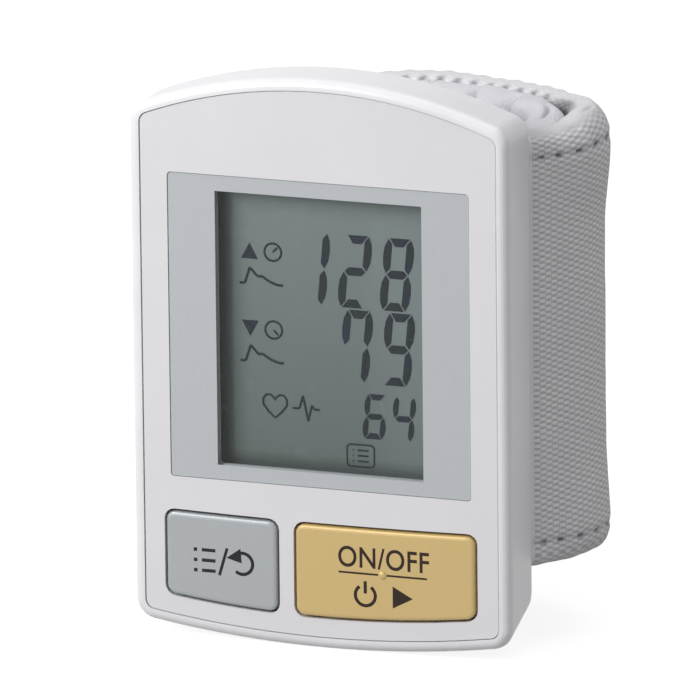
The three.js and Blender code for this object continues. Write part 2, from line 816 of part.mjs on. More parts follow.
add(
  "pressure_sensor",
  join(
    squarePart(sensorX, sensorZ, sensorWidth, sensorThickness),
    rodAlongY(sensorX, sensorZ, sensorPortRadius, partY + sensorThickness / 2,
      partY + sensorThickness + sensorPortLength, steps.small),
  ),
  "darkPackage",
);
add(
  "clock_crystal",
  beam(circle(partY + crystalRadius, crystalZ, crystalRadius, steps.small), chipX - crystalLength / 2,
    chipX + crystalLength / 2),
  "steel",
);
add(
  "sounder",
  cut(
    rodAlongY(sounderPlace.x, sounderPlace.z, sounderRadius, partY, partY + sounderThickness),
    rodAlongY(sounderPlace.x, sounderPlace.z, sounderHoleRadius, partY + sounderThickness / 2,
      partY + sounderThickness + overrun, steps.small),
  ),
  "darkPackage",
);
add(
  "motor_capacitor",
  rodAlongZ(capacitorX, partY + capacitorRadius, capacitorRadius, capacitorZ,
    capacitorZ + capacitorLength, steps.small),
  "darkPackage",
);

// Rear shell: rim, locating lip, deep tub, ribs and screw sleeves, with the battery hatch cut out
const hatch = {
  left: bayLeft, right: bayRight, front: shellDepth, back: tubInnerBackY - seatGap,
};
const hatchLow = -overrun;
const hatchHigh = lift(tubBackY) + tubWall + caseCorner;

function tubShell() {
  const rim = layered([
    { outline: caseOutline(backRimInset, rearY), y: rearY },
    { outline: caseOutline(backRimInset, rimBackY - backRimRound), y: rimBackY - backRimRound },
    { outline: caseOutline(backRimInset + backRimRound, rimBackY), y: rimBackY },
  ]);
  const tub = layered([
    { outline: tubOutline(0, rearY), y: rearY },
    { outline: tubOutline(0, tubBackY - tubBackRound), y: tubBackY - tubBackRound },
    { outline: tubOutline(tubBackRound, tubBackY), y: tubBackY },
  ]);
  const hollow = layered([
    { outline: tubOutline(tubWall, rearY - overrun), y: rearY - overrun },
    { outline: tubOutline(tubWall, tubInnerBackY), y: tubInnerBackY },
  ]);
  const lipOutside = wall + seatGap;
  const lipFront = shellDepth - lipDepth;
  const lip = cut(
    layered([
      { outline: caseOutline(lipOutside, lipFront), y: lipFront },
      { outline: caseOutline(lipOutside, rearY + backRimDepth / 2), y: rearY + backRimDepth / 2 },
    ]),
    layered([
      { outline: caseOutline(lipOutside + lipThickness, lipFront - overrun), y: lipFront - overrun },
      { outline: caseOutline(lipOutside + lipThickness, rimBackY), y: rimBackY },
    ]),
  );
  const roomForPosts = screwPlaces.map(({ x, z }) =>
    rodAlongY(x, z, postRadius + seatGap, lipFront - overrun, postEndY + seatGap));
  return { skin: cut(join(rim, tub), hollow), lip: cut(lip, ...roomForPosts) };
}

function insideTub(piece) {
  return piece.intersect(layered([
    { outline: tubOutline(tubWall / 2, rearY), y: rearY },
    { outline: tubOutline(tubWall / 2, tubInnerBackY), y: tubBackY - tubBackWall / 2 },
  ]));
}

// Cross ribs that hold the motor, each with a round seat for it
function motorCradles() {
  return cradleShares.map((share) => {
    const z = motorLiftZ + motorLength * share;
    const rib = block(bayRight + partitionWall / 2, tubHalfWidth - tubWall / 2, cellY, tubBackY
      - tubBackWall / 2, z - cradleWall / 2, z + cradleWall / 2);
    return cut(rib, rodAlongZ(motorX, cellY, motorRadius + seatGap, z - cradleWall, z + cradleWall));
  });
}

const nipplePlace = { x: motorX, z: blockZ + blockHeight / 2 };
const coverPin = { y: hatch.back - coverPinToEdge, radius: coverPinRadius };
coverPin.z = tubBottom(coverPin.y) + tubWall;

function rearShell() {
  const { skin, lip } = tubShell();
  const partition = insideTub(block(bayRight, bayRight + partitionWall, rearY, tubBackY, 0, bayTopZ));
  const topRib = insideTub(
    block(bayLeft - tubWall, bayRight + partitionWall, rearY, tubBackY, bayTopZ, bayTopZ + partitionWall),
  );
  const sleeves = screwPlaces.map(({ x, z }) =>
    rodAlongY(x, z, postRadius, postEndY + seatGap, rimBackY - backRimRound));
  const holes = screwPlaces.flatMap(({ x, z }) => [
    rodAlongY(x, z, screwShaftRadius + screwClearance, postEndY - overrun, rimBackY, steps.small),
    rodAlongY(x, z, screwHeadRadius + screwClearance, screwHeadY, rimBackY + overrun, steps.small),
  ]);
  const stakes = stakePlaces().map(({ x, z }) =>
    rodAlongY(x, z, stakeRadius, tubBackY - tubBackWall / 2, cuffPlateY + plateThickness, steps.small));
  const opening = block(hatch.left, hatch.right, hatch.front - lipDepth - overrun, hatch.back, hatchLow,
    hatchHigh);
  const pinHole = beam(
    circle(coverPin.y, coverPin.z, coverPin.radius + coverPinClearance, steps.small),
    bayLeft - coverPinLength - coverPinClearance,
    bayRight + coverPinLength + coverPinClearance,
  );
  const nippleHole = rodAlongY(nipplePlace.x, nipplePlace.z, nippleRadius + seatGap, tubInnerBackY
    - overrun, tubBackY + overrun, steps.small);
  return cut(
    join(skin, lip, partition, topRib, ...motorCradles().map(insideTub), ...sleeves, ...stakes),
    ...holes, opening, pinHole, nippleHole,
  );
}

function stakePlaces() {
  const across = tubHalfWidth - stakeInsetX;
  const low = cuffLowZ + stakeInsetZ;
  const high = cuffTopZ - stakeInsetZ;
  return [-across, across].flatMap((x) => [low, high].map((z) => ({ x, z })));
}

add("rear_housing", rearShell(), "whitePlastic");
screwPlaces.forEach(({ x, z }, i) => {
  const headBack = screwHeadY + screwClearance + screwHeadThickness;
  const screw = turnedAlongY([
    [0, headBack - screwHeadThickness - screwLength],
    [screwShaftRadius / 2, headBack - screwHeadThickness - screwLength],
    [screwShaftRadius, headBack - screwHeadThickness - screwLength + screwShaftRadius],
    [screwShaftRadius, headBack - screwHeadThickness],
    [screwHeadRadius, headBack - screwHeadThickness],
    [screwHeadRadius, headBack - screwHeadThickness / 3],
    [screwHeadFlatRadius, headBack],
    [0, headBack],
  ], x, z, steps.small);
  const drive = [[screwDriveRadius, screwDriveRadius / 3], [screwDriveRadius / 3, screwDriveRadius]].map(
    ([across, up]) => block(x - across, x + across, headBack - screwDriveDepth, headBack + overrun, z - up,
      z + up));
  add("case_screw_" + (i + 1), cut(screw, ...drive), "steel");
});

// Battery cover: the part of the tub's underside inside the hatch, on two pins at its back edge
function batteryCover() {
  const { skin } = tubShell();
  const inside = block(hatch.left + seatGap, hatch.right - seatGap, hatch.front + seatGap, hatch.back
    - seatGap, hatchLow, hatchHigh);
  const pin = beam(circle(coverPin.y, coverPin.z, coverPin.radius, steps.small), bayLeft - coverPinLength,
    bayRight + coverPinLength);
  const middle = (bayLeft + bayRight) / 2;
  const grooves = [];
  for (let i = 0; i < coverGripCount; i++) {
    const y = rimBackY + coverGripPitch * (i + 1);
    const low = tubBottom(y) - coverGripRadius + coverGripDepth;
    grooves.push(beam(circle(y, low, coverGripRadius, steps.small), middle - coverGripWidth / 2,
      middle + coverGripWidth / 2));
  }
  const ribY = cellY - contactWidth / 2;
  const rib = block(cellXs[0], cellXs[1], ribY, ribY + coverRibWidth, tubBottom(ribY + coverRibWidth)
    + tubWall / 2, bridgeFoot - seatGap);
  return cut(join(skin.intersect(inside), pin, rib), ...grooves);
}

const bridgeFoot = tubBottom(cellY + contactWidth / 2) + tubWall + 2 * seatGap;
add("battery_cover", batteryCover(), "whitePlastic");

function cell(x, upright) {
  const profile = [
    [0, 0], [cellRadius - cellEdgeRound, 0], [cellRadius, cellEdgeRound],
    [cellRadius, cellLength - cellEdgeRound], [cellRadius - cellEdgeRound, cellLength],
    [cellNubRadius, cellLength], [cellNubRadius, cellLength + cellNubLength], [0, cellLength
    + cellNubLength],
  ];
  const turnedCell = turned(profile).rotateX(Math.PI / 2);
  if (!upright) turnedCell.rotateX(Math.PI).translate(0, 0, cellLength);
  return solid(turnedCell.translate(x, cellY, underCells));
}

add("cell_left", cell(cellXs[0], true), "cellJacket");
add("cell_right", cell(cellXs[1], false), "cellJacket");

// Contacts: a flat tab over the positive end, a conical spring over the other, and a bridge on the cover
function coneSpring(x, y, z, length) {
  const count = Math.round(springTurns * steps.spring);
  const rings = [];
  const section = circle(0, 0, springWire / 2, steps.springSection);
  for (let i = 0; i <= count; i++) {
    const share = i / count;
    const turn = share * springTurns * 2 * Math.PI;
    const radius = springBaseRadius + (springTipRadius - springBaseRadius) * share;
    const rise = springWire / 2 + (length - springWire) * share;
    rings.push(section.map(([out, up]) => [
      x + (radius + out) * Math.cos(turn), y + (radius + out) * Math.sin(turn), z + rise + up,
    ]));
  }
  return loft(rings, section);
}

const contactZ = cellTopZ + cellNubLength + seatGap;
function topContact(x) {
  const half = contactWidth / 2;
  return join(
    block(x - half, x + half, cellY - half, cellY + half, contactZ, contactZ + contactThickness),
    block(x - half, x + half, cellY - half, cellY - half + contactThickness, contactZ
      - contactTongue, contactZ + contactThickness),
  );
}

add("contact_positive", topContact(cellXs[0]), "steel");
add("contact_negative", topContact(cellXs[1]), "steel");
add(
  "bridge_contact",
  block(cellXs[0] - contactWidth / 2, cellXs[1] + contactWidth / 2, cellY - contactWidth / 2,
    cellY + contactWidth / 2, bridgeFoot, bridgeFoot + contactThickness),
  "steel",
);
const springFoot = bridgeFoot + contactThickness + springLegGap;
add("cell_spring", coneSpring(cellXs[0], cellY, springFoot, underCells - seatGap - springFoot), "steel");

// Pump: a motor with two flats, and the pump head on its shaft end
function flatted(x, y, radius, flat) {
  return circle(x, y, radius).map(([px, py]) => [px, Math.min(Math.max(py, y - radius + flat),
    y + radius - flat)]);
}

add("pump_motor", column(flatted(motorX, cellY, motorRadius, motorFlat), motorLiftZ, motorLiftZ
  + motorLength), "steel");
add(
  "pump_head",
  join(
    column(roundedRectangle(motorX - headWidth / 2, motorX + headWidth / 2, cellY - headDepth / 2,
      cellY + headDepth / 2, headCorner, 2), headZ, headTopZ),
    rodAlongZ(motorX, cellY, portRadius, headTopZ - overrun, headTopZ + portLength, steps.small),
  ),
  "innerPlastic",
);

// Air block between pump, valve, sensor and cuff, and the hoses to it
add(
  "air_block",
  block(motorX - blockWidth / 2, motorX + blockWidth / 2, blockBackY - blockDepth, blockBackY, blockZ,
    blockZ + blockHeight),
  "innerPlastic",
);
const nippleFlangeY = blockBackY + seatGap;
add(
  "cuff_nipple",
  turnedAlongY([
    [nippleBore, nippleFlangeY], [nippleFlangeRadius, nippleFlangeY],
    [nippleFlangeRadius, nippleFlangeY + nippleFlangeThickness],
    [nippleRadius, nippleFlangeY + nippleFlangeThickness], [nippleRadius, liningY - seatGap],
    [nippleBore, liningY - seatGap], [nippleBore, nippleFlangeY],
  ], nipplePlace.x, nipplePlace.z, steps.small),
  "innerPlastic",
);
const valvePoleZ = valveZ + valveLength;
const valvePortZ = valvePoleZ + valvePoleLength;
add(
  "exhaust_valve",
  turnedAlongZ([
    [0, valveZ], [valveRadius, valveZ], [valveRadius, valvePoleZ], [valvePoleRadius, valvePoleZ],
    [valvePoleRadius, valvePortZ], [portRadius, valvePortZ], [portRadius, valvePortZ + portLength],
    [0, valvePortZ + portLength],
  ], valveX, cellY),
  "steel",
);

function hose(points) {
  const route = new THREE.CatmullRomCurve3(points.map((point) => new THREE.Vector3(...point)));
  const section = new THREE.Shape(
    circle(0, 0, hoseRadius, steps.hoseSides).map(([x, y]) => new THREE.Vector2(x, y)),
  );
  return solid(new THREE.ExtrudeGeometry(section, { steps: steps.hose, extrudePath: route }));
}

add("pump_hose", hose([
  [motorX, cellY, pumpHoseZ], [motorX, cellY + (hoseY - cellY) / 3, pumpHoseZ + pumpHoseRun / 3],
  [motorX, hoseY, pumpHoseZ + (2 * pumpHoseRun) / 3], [motorX, hoseY, pumpHoseZ + pumpHoseRun],
]), "hose");
const valveHoseZ = valvePortZ + portLength + seatGap;
const archZ = Math.max(valveHoseZ, blockTopZ) + hoseLift;
const valveSideX = motorX + blockPortPitch / 2;
add("valve_hose", hose([
  [valveX, cellY, valveHoseZ], [valveX, cellY, valveHoseZ + hoseRadius],
  [(valveX + valveSideX) / 2, (cellY + hoseY) / 2, archZ],
  [valveSideX, hoseY, blockTopZ + hoseRadius], [valveSideX, hoseY, blockTopZ],
]), "hose");
const sensorSideX = motorX - blockPortPitch / 2;
const sensorPortY = partY + sensorThickness + sensorPortLength + seatGap;
add("sensor_hose", hose([
  [sensorX, sensorPortY, sensorZ], [sensorX, sensorPortY + hoseRadius, sensorZ],
  [(sensorX + sensorSideX) / 2, hoseY + hoseRadius, (sensorZ + blockTopZ) / 2],
  [sensorSideX, hoseY, blockTopZ + hoseRadius], [sensorSideX, hoseY, blockTopZ],
]), "hose");

// Cuff plate and the lining pad on the back of the tub
const plateHalf = tubHalfWidth - plateInset;
const plateLowZ = cuffLowZ + plateInset;
const plateTopZ = Math.min(cuffTopZ - plateInset, tubTopZ - tubBackRound);
add(
  "cuff_plate",
  cut(
    slab(roundedRectangle(-plateHalf, plateHalf, plateLowZ, plateTopZ, plateCorner), cuffPlateY,
      cuffPlateY + plateThickness),
    ...stakePlaces().map(({ x, z }) =>
      rodAlongY(x, z, stakeRadius + seatGap, cuffPlateY - overrun, cuffPlateY + plateThickness + overrun,
        steps.small)),
    rodAlongY(nipplePlace.x, nipplePlace.z, nippleRadius + seatGap, cuffPlateY - overrun,
      cuffPlateY + plateThickness + overrun, steps.small),
  ),
  "innerPlastic",
);

function backLining() {
  const outline = (inset) =>
    roundedRectangle(-plateHalf + inset, plateHalf - inset, plateLowZ + inset, plateTopZ - inset,
      plateCorner - inset);
  const pad = layered([
    { outline: outline(liningRound), y: liningY },
    { outline: outline(0), y: liningY + liningRound },
    { outline: outline(0), y: liningY + liningThickness - liningRound },
    { outline: outline(liningRound), y: liningY + liningThickness },
  ]);
  const channels = [];
  for (let i = 1; i < liningRibs; i++) {
    const z = plateLowZ + ((plateTopZ - plateLowZ) * i) / liningRibs;
    channels.push(beam(circle(liningY + liningThickness, z, liningRibDepth, steps.small),
      -plateHalf - overrun, plateHalf + overrun));
  }
  return cut(pad, ...channels);
}

add("back_lining", backLining(), "liningCloth");

// Cuff band. Its middle line leaves the casing at the right, bulges, passes behind the apex and comes
// round the left side; sections across it are given as [outwards, up].
const bandLine = new THREE.CurvePath();
const mirrored = (x, y, side) => new THREE.Vector2(side * x, y);
for (const side of [1, -1]) {
  const root = mirrored(rootX, rootY, side);
  const bulge = mirrored(bulgeX, bulgeY, side);
  const lead = (bulgeY - rootY) * rootLeadShare;
  const sideCurve = [
    root, mirrored(rootX + (bulgeX - rootX) / 3, rootY + lead / 2, side),
    mirrored(bulgeX, bulgeY - lead, side), bulge,
  ];
  const backCurve = [
    bulge, mirrored(bulgeX, bulgeY + bulgeLead, side), mirrored(apexLead, apexY, side),
    mirrored(0, apexY, side),
  ];
  const curves = side > 0 ? [sideCurve, backCurve] : [backCurve.reverse(), sideCurve.reverse()];
  for (const points of curves) bandLine.add(new THREE.CubicBezierCurve(...points));
}

function alongBand(share) {
  const point = bandLine.getPointAt(share);
  const ahead = bandLine.getTangentAt(share);
  return { point, ahead, out: new THREE.Vector2(ahead.y, -ahead.x) };
}

// Rings of sections from one share of the line to another. A root with a radius starts half round.
function follow(line, from, to, count, section, rootRadius = 0) {
  const rings = [];
  const place = ({ point, ahead, out }, points, behind, thin) =>
    points.map(([n, z]) => [
      point.x - ahead.x * behind + out.x * n * thin, point.y - ahead.y * behind + out.y * n * thin, z,
    ]);
  for (let i = 1; i <= steps.capTurns && rootRadius; i++) {
    const turn = ((Math.PI / 2) * i) / (steps.capTurns + 1);
    rings.push(place(line(from), section(from, 0), rootRadius * Math.cos(turn), Math.sin(turn)));
  }
  for (let i = 0; i <= count; i++) {
    const share = from + ((to - from) * i) / count;
    rings.push(place(line(share), section(share, i / count), 0, 1));
  }
  return loft(rings, section(from, 0));
}

// The cover's section: padded outer face between two sewn seams, thin rounded edges that flare and wave.
// It gets narrower towards its free end.
function coverSection(share) {
  const wave = edgeWaveHeight * Math.sin(share * edgeWaves * 2 * Math.PI);
  const narrower = endNarrowing * THREE.MathUtils.smoothstep(share, narrowStartShare, narrowEndShare);
  const low = cuffLowZ + wave + narrower;
  const high = cuffTopZ + wave - narrower;
  const grown = Math.min(1, share / flareGrowthShare);
  const crown = bandHalf + bandCrown * grown;
  const flare = edgeFlare * grown;
  const edge = bandEdgeRound;
  const points = [
    [bandHalf + flare, low + edge],
    [bandHalf, low + seamInset - seamWidth],
    [bandHalf - seamDepth, low + seamInset],
    [bandHalf, low + seamInset + seamWidth],
    [crown, low + 2 * seamInset],
    [crown, high - 2 * seamInset],
    [bandHalf, high - seamInset - seamWidth],
    [bandHalf - seamDepth, high - seamInset],
    [bandHalf, high - seamInset + seamWidth],
    [bandHalf + flare, high - edge],
  ];
  const width = bandHalf + flare / 2;
  for (let i = 1; i <= steps.capTurns; i++) {
    const turn = (Math.PI * i) / (steps.capTurns + 1);
    points.push([flare / 2 + width * Math.cos(turn), high - edge + edge * Math.sin(turn)]);
  }
  points.push([-bandHalf, high - edge], [-bandHalf, low + edge]);
  for (let i = steps.capTurns; i >= 1; i--) {
    const turn = (Math.PI * i) / (steps.capTurns + 1);
    points.push([flare / 2 + width * Math.cos(turn), low + edge - edge * Math.sin(turn)]);
  }
  return points;
}

// The band's root and the tab's root are half round and turn about hinge lines in mid-thickness
const tabHinge = alongBand(tabStartShare);
const bandLength = bandLine.getLength();
const tabEndShare = 1 - (bulgeY - rootY) / 2 / bandLength;
const socketShare = tabStartShare - (bandHalf * knuckleOpenShare) / bandLength;
add(
  "cuff_cover",
  cut(
    follow(alongBand, 0, socketShare, steps.band, coverSection, bandHalf),
    rodAlongZ(tabHinge.point.x, tabHinge.point.y, bandHalf + knuckleGap, cuffLowZ - overrun,
      cuffTopZ + overrun),
  ),
  "wovenCloth",
);

// The tab: the cover's free end, which thins towards its edge
function tabSection(share, progress) {
  const left = (1 - progress) * (tabEndShare - tabStartShare) * bandLength;
  const thin = Math.max(0, 1 - left / tabEndTaper);
  const shrink = 1 - thin * tabThinShare;
  return coverSection(share).map(([n, z]) => [n * shrink, cuffMiddleZ + (z - cuffMiddleZ)
    * (1 - (thin * seamWidth) / cuffHeight)]);
}

add("cuff_tab", follow(alongBand, tabStartShare, tabEndShare, steps.flap, tabSection, bandHalf),
  "wovenCloth");
const hookOut = -(bandHalf + seatGap);
const hookSpan = tabEndShare - tabStartShare;
add(
  "hook_pad",
  follow(alongBand, tabStartShare + hookSpan * hookStartShare, tabStartShare + hookSpan * hookEndShare,
    steps.hook, () => [
      [hookOut, cuffLowZ + hookInset], [hookOut, cuffTopZ - hookInset],
      [hookOut - hookThickness, cuffTopZ - hookInset], [hookOut - hookThickness, cuffLowZ + hookInset],
    ]),
  "hookPad",
);

// The stay that keeps the cuff curled and the air bladder, both inside the lining's pocket
const stayOut = hookOut;
const bladderOut = stayOut - stayThickness - seatGap;
const pocketOut = bladderOut - bladderThickness - seatGap;
const pocketLow = cuffLowZ + pocketInset;
const pocketHigh = cuffTopZ - pocketInset;

function flatBand(front, back, low, high) {
  return () => [[front, low], [front, high], [back, high], [back, low]];
}

add(
  "cuff_stay",
  follow(alongBand, padStartShare + pocketEndShare, padEndShare - pocketEndShare, steps.pad / 2,
    flatBand(stayOut, stayOut - stayThickness, pocketLow + seatGap, pocketHigh - seatGap)),
  "innerPlastic",
);
add(
  "air_bladder",
  follow(alongBand, padStartShare + pocketEndShare, padEndShare - pocketEndShare, steps.pad / 2,
    flatBand(bladderOut, bladderOut - bladderThickness, pocketLow + seatGap, pocketHigh - seatGap)),
  "bladder",
);

// The lining: a puffy inner wall with puckers across it, whose top and bottom lips close on the cover
function liningSection(share) {
  const along = (share - padStartShare) / (padEndShare - padStartShare);
  const gather = Math.abs(Math.sin(along * padPuckers * Math.PI));
  const ends = Math.min(1, Math.min(along, 1 - along) * padPuckers);
  const full = padThickness * (1 - padPuckerShare * (1 - gather));
  const fullness = Math.sqrt(padEndShareOfFullness + (1 - padEndShareOfFullness) * ends);
  const thickness = Math.max(full * fullness, hookOut - pocketOut + 2 * seatGap);
  const drawnIn = padLowerBy + padGather * (1 - gather);
  const low = cuffLowZ + drawnIn;
  const high = cuffTopZ - drawnIn;
  const inner = hookOut - thickness;
  const crown = inner - padCrown * gather * ends;
  const points = [
    [hookOut, low + padEdgeRound], [hookOut, pocketLow], [pocketOut, pocketLow],
    [pocketOut, pocketHigh], [hookOut, pocketHigh], [hookOut, high - padEdgeRound],
  ];
  const middle = (hookOut + inner) / 2;
  for (let i = 1; i <= steps.capTurns; i++) {
    const turn = (Math.PI * i) / (steps.capTurns + 1);
    points.push([middle + (thickness / 2) * Math.cos(turn), high - padEdgeRound
      + padEdgeRound * Math.sin(turn)]);
  }
  points.push([inner, high - padEdgeRound], [crown, (high + cuffMiddleZ) / 2], [crown,
    (low + cuffMiddleZ) / 2], [inner, low + padEdgeRound]);
  for (let i = steps.capTurns; i >= 1; i--) {
    const turn = (Math.PI * i) / (steps.capTurns + 1);
    points.push([middle + (thickness / 2) * Math.cos(turn), low + padEdgeRound
      - padEdgeRound * Math.sin(turn)]);
  }
  return points;
}

add("cuff_lining", follow(alongBand, padStartShare, padEndShare, steps.pad, liningSection),
  "liningCloth");

// Side flap: the short fixed end of the cuff at the left, which the tab closes on
const flapX = rootX - flapInset;
const flapLine = new THREE.CubicBezierCurve(
  new THREE.Vector2(-flapX, rootY),
  new THREE.Vector2(-flapX, rootY + flapReach / 3),
  new THREE.Vector2(-flapX + flapBend, rootY + (flapReach * 2) / 3),
  new THREE.Vector2(-flapX + flapLean, rootY + flapReach),
);

function alongFlap(share) {
  const point = flapLine.getPointAt(share);
  const ahead = flapLine.getTangentAt(share);
  return { point, ahead, out: new THREE.Vector2(-ahead.y, ahead.x) };
}

function flapSection(share, progress) {
  const half = (flapThickness / 2) * Math.max(Math.sqrt(1 - progress ** 4), flapTipThinShare);
  const round = Math.min(bandEdgeRound, half);
  const points = [[half, cuffLowZ + seamInset - seamWidth], [half - seamDepth / 2, cuffLowZ + seamInset],
    [half, cuffLowZ + seamInset + seamWidth], [half, cuffTopZ - seamInset - seamWidth],
    [half - seamDepth / 2, cuffTopZ - seamInset], [half, cuffTopZ - seamInset + seamWidth],
    [half, cuffTopZ - round]];
  for (let i = 1; i <= steps.capTurns; i++) {
    const turn = (Math.PI * i) / (steps.capTurns + 1);
    points.push([half * Math.cos(turn), cuffTopZ - round + round * Math.sin(turn)]);
  }
  points.push([-half, cuffTopZ - round], [-half, cuffLowZ + round]);
  for (let i = steps.capTurns; i >= 1; i--) {
    const turn = (Math.PI * i) / (steps.capTurns + 1);
    points.push([half * Math.cos(turn), cuffLowZ + round - round * Math.sin(turn)]);
  }
  points.push([half, cuffLowZ + round]);
  return points;
}

add("side_flap", follow(alongFlap, 0, 1, steps.flap, flapSection, flapThickness / 2), "wovenCloth");

// Clamps that hold the cuff's cloth to the rear shell at both sides of the tub
function clamp(side, pinX, pinRadius) {
  const near = tubHalfWidth + seatGap;
  const far = near + clampWidth;
  const [x0, x1] = side > 0 ? [near, far] : [-far, -near];
  const y0 = rimBackY + seatGap;
  const room = pinRadius + knuckleGap;
  return cut(
    column(roundedRectangle(x0, x1, y0, y0 + clampDepth, clampRound, 2), cuffLowZ, cuffTopZ
      - bandEdgeRound),
    rodAlongZ(side * pinX, rootY, room, cuffLowZ - overrun, cuffTopZ + overrun),
    block(side * pinX - room, side * pinX + room, rootY, rootY + clampDepth, cuffLowZ - overrun,
      cuffTopZ + overrun),
  );
}

add("cuff_clamp_right", clamp(1, rootX, bandHalf), "innerPlastic");
add("cuff_clamp_left", clamp(-1, flapX, flapThickness / 2), "innerPlastic");

// The origin lies under the middle of the part, between the nub in front and the cuff behind
const frontY = keyFrontY - nubHeight;
const backY = apexY + bandHalf + Math.max(bandCrown, edgeFlare);
product.position.y = -(frontY + backY) / 2;
const part = new THREE.Group();
part.add(product);
export default part;
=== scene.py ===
# %% [markdown]
# # A wrist blood pressure monitor, dressed in Blender
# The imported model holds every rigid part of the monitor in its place: the white casing, the face with its
# window, the two keys, and the cuff as plain solids. This lesson gives each of them its finish, and it
# models what a plain solid can't show: the figures on the display, the prints on the keys, and the cuff's
# woven cloth and padding. The frame is loaded first, because everything else is placed from it.

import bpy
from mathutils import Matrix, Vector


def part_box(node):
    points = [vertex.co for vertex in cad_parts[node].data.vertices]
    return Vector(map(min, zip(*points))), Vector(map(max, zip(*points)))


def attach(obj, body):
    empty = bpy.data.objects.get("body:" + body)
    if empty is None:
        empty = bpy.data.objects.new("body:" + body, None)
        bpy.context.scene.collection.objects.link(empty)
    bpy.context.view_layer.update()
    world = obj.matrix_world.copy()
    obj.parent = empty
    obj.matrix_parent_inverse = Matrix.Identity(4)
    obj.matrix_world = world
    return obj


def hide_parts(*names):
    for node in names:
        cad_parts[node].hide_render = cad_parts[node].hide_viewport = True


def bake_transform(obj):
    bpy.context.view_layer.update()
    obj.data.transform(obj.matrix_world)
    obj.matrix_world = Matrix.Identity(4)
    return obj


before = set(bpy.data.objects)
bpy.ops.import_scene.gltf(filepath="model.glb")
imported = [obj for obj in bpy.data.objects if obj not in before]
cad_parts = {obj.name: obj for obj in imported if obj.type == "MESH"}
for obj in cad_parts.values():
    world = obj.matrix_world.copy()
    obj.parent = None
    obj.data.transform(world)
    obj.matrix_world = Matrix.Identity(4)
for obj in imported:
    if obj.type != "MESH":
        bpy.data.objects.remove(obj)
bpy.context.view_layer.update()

# %% Libraries, units and the casing's front plane
import math

import bmesh
import bpy
import numpy as np
from mathutils import Matrix, Vector, noise

MM = 0.001
front_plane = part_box("front_housing")[0].y


def place(x, depth, z):
    """A point in the frame's metres, from millimetres across, behind the front plane and up."""
    return Vector((x * MM, front_plane + depth * MM, z * MM))


print("front plane at", round(front_plane / MM, 3), "mm")

# %% [markdown]
# ## Camera
# The photograph was taken from a little to the right and above, from far off, so upright edges stay nearly
# parallel. A long lens at a good distance repeats that. The camera is set from three turns, and its place
# follows from the point of the picture that the casing's lower front edge falls on.

# %% Camera at the photograph's angle
camera_turn, camera_height, camera_roll = (math.radians(a) for a in (21.0, 14.009, -0.594))
picture = 700
focal_pixels = 12000.0
pixels_per_mm = 6.65
aim_pixel = (321.51, 640.0)
aim_lift = 1.47  # height of the aimed point over the frame's floor

back = Vector((
    math.sin(camera_turn) * math.cos(camera_height),
    -math.cos(camera_turn) * math.cos(camera_height),
    math.sin(camera_height),
))
level = Vector((math.cos(camera_turn), math.sin(camera_turn), 0))
upright = back.cross(level)
right = math.cos(camera_roll) * level + math.sin(camera_roll) * upright
up = math.cos(camera_roll) * upright - math.sin(camera_roll) * level
aside = (aim_pixel[0] - picture / 2) / pixels_per_mm
above = -(aim_pixel[1] - picture / 2) / pixels_per_mm
centre = back * (focal_pixels / pixels_per_mm) - right * aside - up * above

lens = bpy.data.cameras.new("photo_camera")
lens.sensor_width = 36
lens.lens = focal_pixels / picture * lens.sensor_width
camera = bpy.data.objects.new("photo_camera", lens)
bpy.context.scene.collection.objects.link(camera)
camera.matrix_world = Matrix.Translation(place(centre.x, centre.y, centre.z + aim_lift)) @ Matrix(
    (right, up, back)
).transposed().to_4x4()
bpy.context.scene.camera = camera
print("lens", round(lens.lens, 1), "mm at", [round(c, 3) for c in camera.location])

# %% [markdown]
# ## Small tools for node trees
# A material is a small network. These helpers keep the cells below short: they add nodes, fill or link
# their inputs by name, mix colours, and make the noises that most finishes are built from.


# %% Helpers for node trees
def plug(value, socket):
    """Puts a number or a colour into a socket, or links an output to it."""
    if isinstance(value, bpy.types.NodeSocket):
        socket.id_data.links.new(value, socket)
    else:
        socket.default_value = value


def fill_in(made, **inputs):
    """Fills or links a node's inputs, which are given by their names, with _ for a space."""
    for name, value in inputs.items():
        plug(value, made.inputs[name.replace("_", " ")])


def add_node(tree, kind, **inputs):
    """Adds a shader node, and sets its own properties first and its inputs after them."""
    made = tree.nodes.new("ShaderNode" + kind)
    for name in [name for name in inputs if hasattr(made, name)]:
        setattr(made, name, inputs.pop(name))
    fill_in(made, **inputs)
    return made


def maths(tree, operation, *values):
    """A Math node on one to three numbers or outputs."""
    made = add_node(tree, "Math", operation=operation)
    for value, socket in zip(values, made.inputs):
        plug(value, socket)
    return made.outputs[0]


def mixed(tree, share, first, second):
    """The colour between two colours, by a share from 0 to 1."""
    made = add_node(tree, "Mix", data_type="RGBA")
    for index, value in ((0, share), (6, first), (7, second)):
        plug((*value, 1) if isinstance(value, tuple) else value, made.inputs[index])
    return made.outputs[2]


def ranged(tree, value, low, high, to_low, to_high):
    """A value moved from one range to another, and kept inside it."""
    return add_node(tree, "MapRange", Value=value, From_Min=low, From_Max=high, To_Min=to_low,
                    To_Max=to_high).outputs[0]


def written(level):
    """A colour given as it looks on a screen, 0 to 255, as the linear numbers that shaders take."""
    return tuple(
        c / 255 / 12.92 if c / 255 <= 0.04045 else ((c / 255 + 0.055) / 1.055) ** 2.4 for c in level
    )


def toned(colour, factor):
    """A colour made darker or lighter by a factor."""
    return tuple(min(1, c * factor) for c in colour)


def object_spot(tree):
    """Places on the object itself, so that a pattern sticks to it."""
    return add_node(tree, "TexCoord").outputs["Object"]


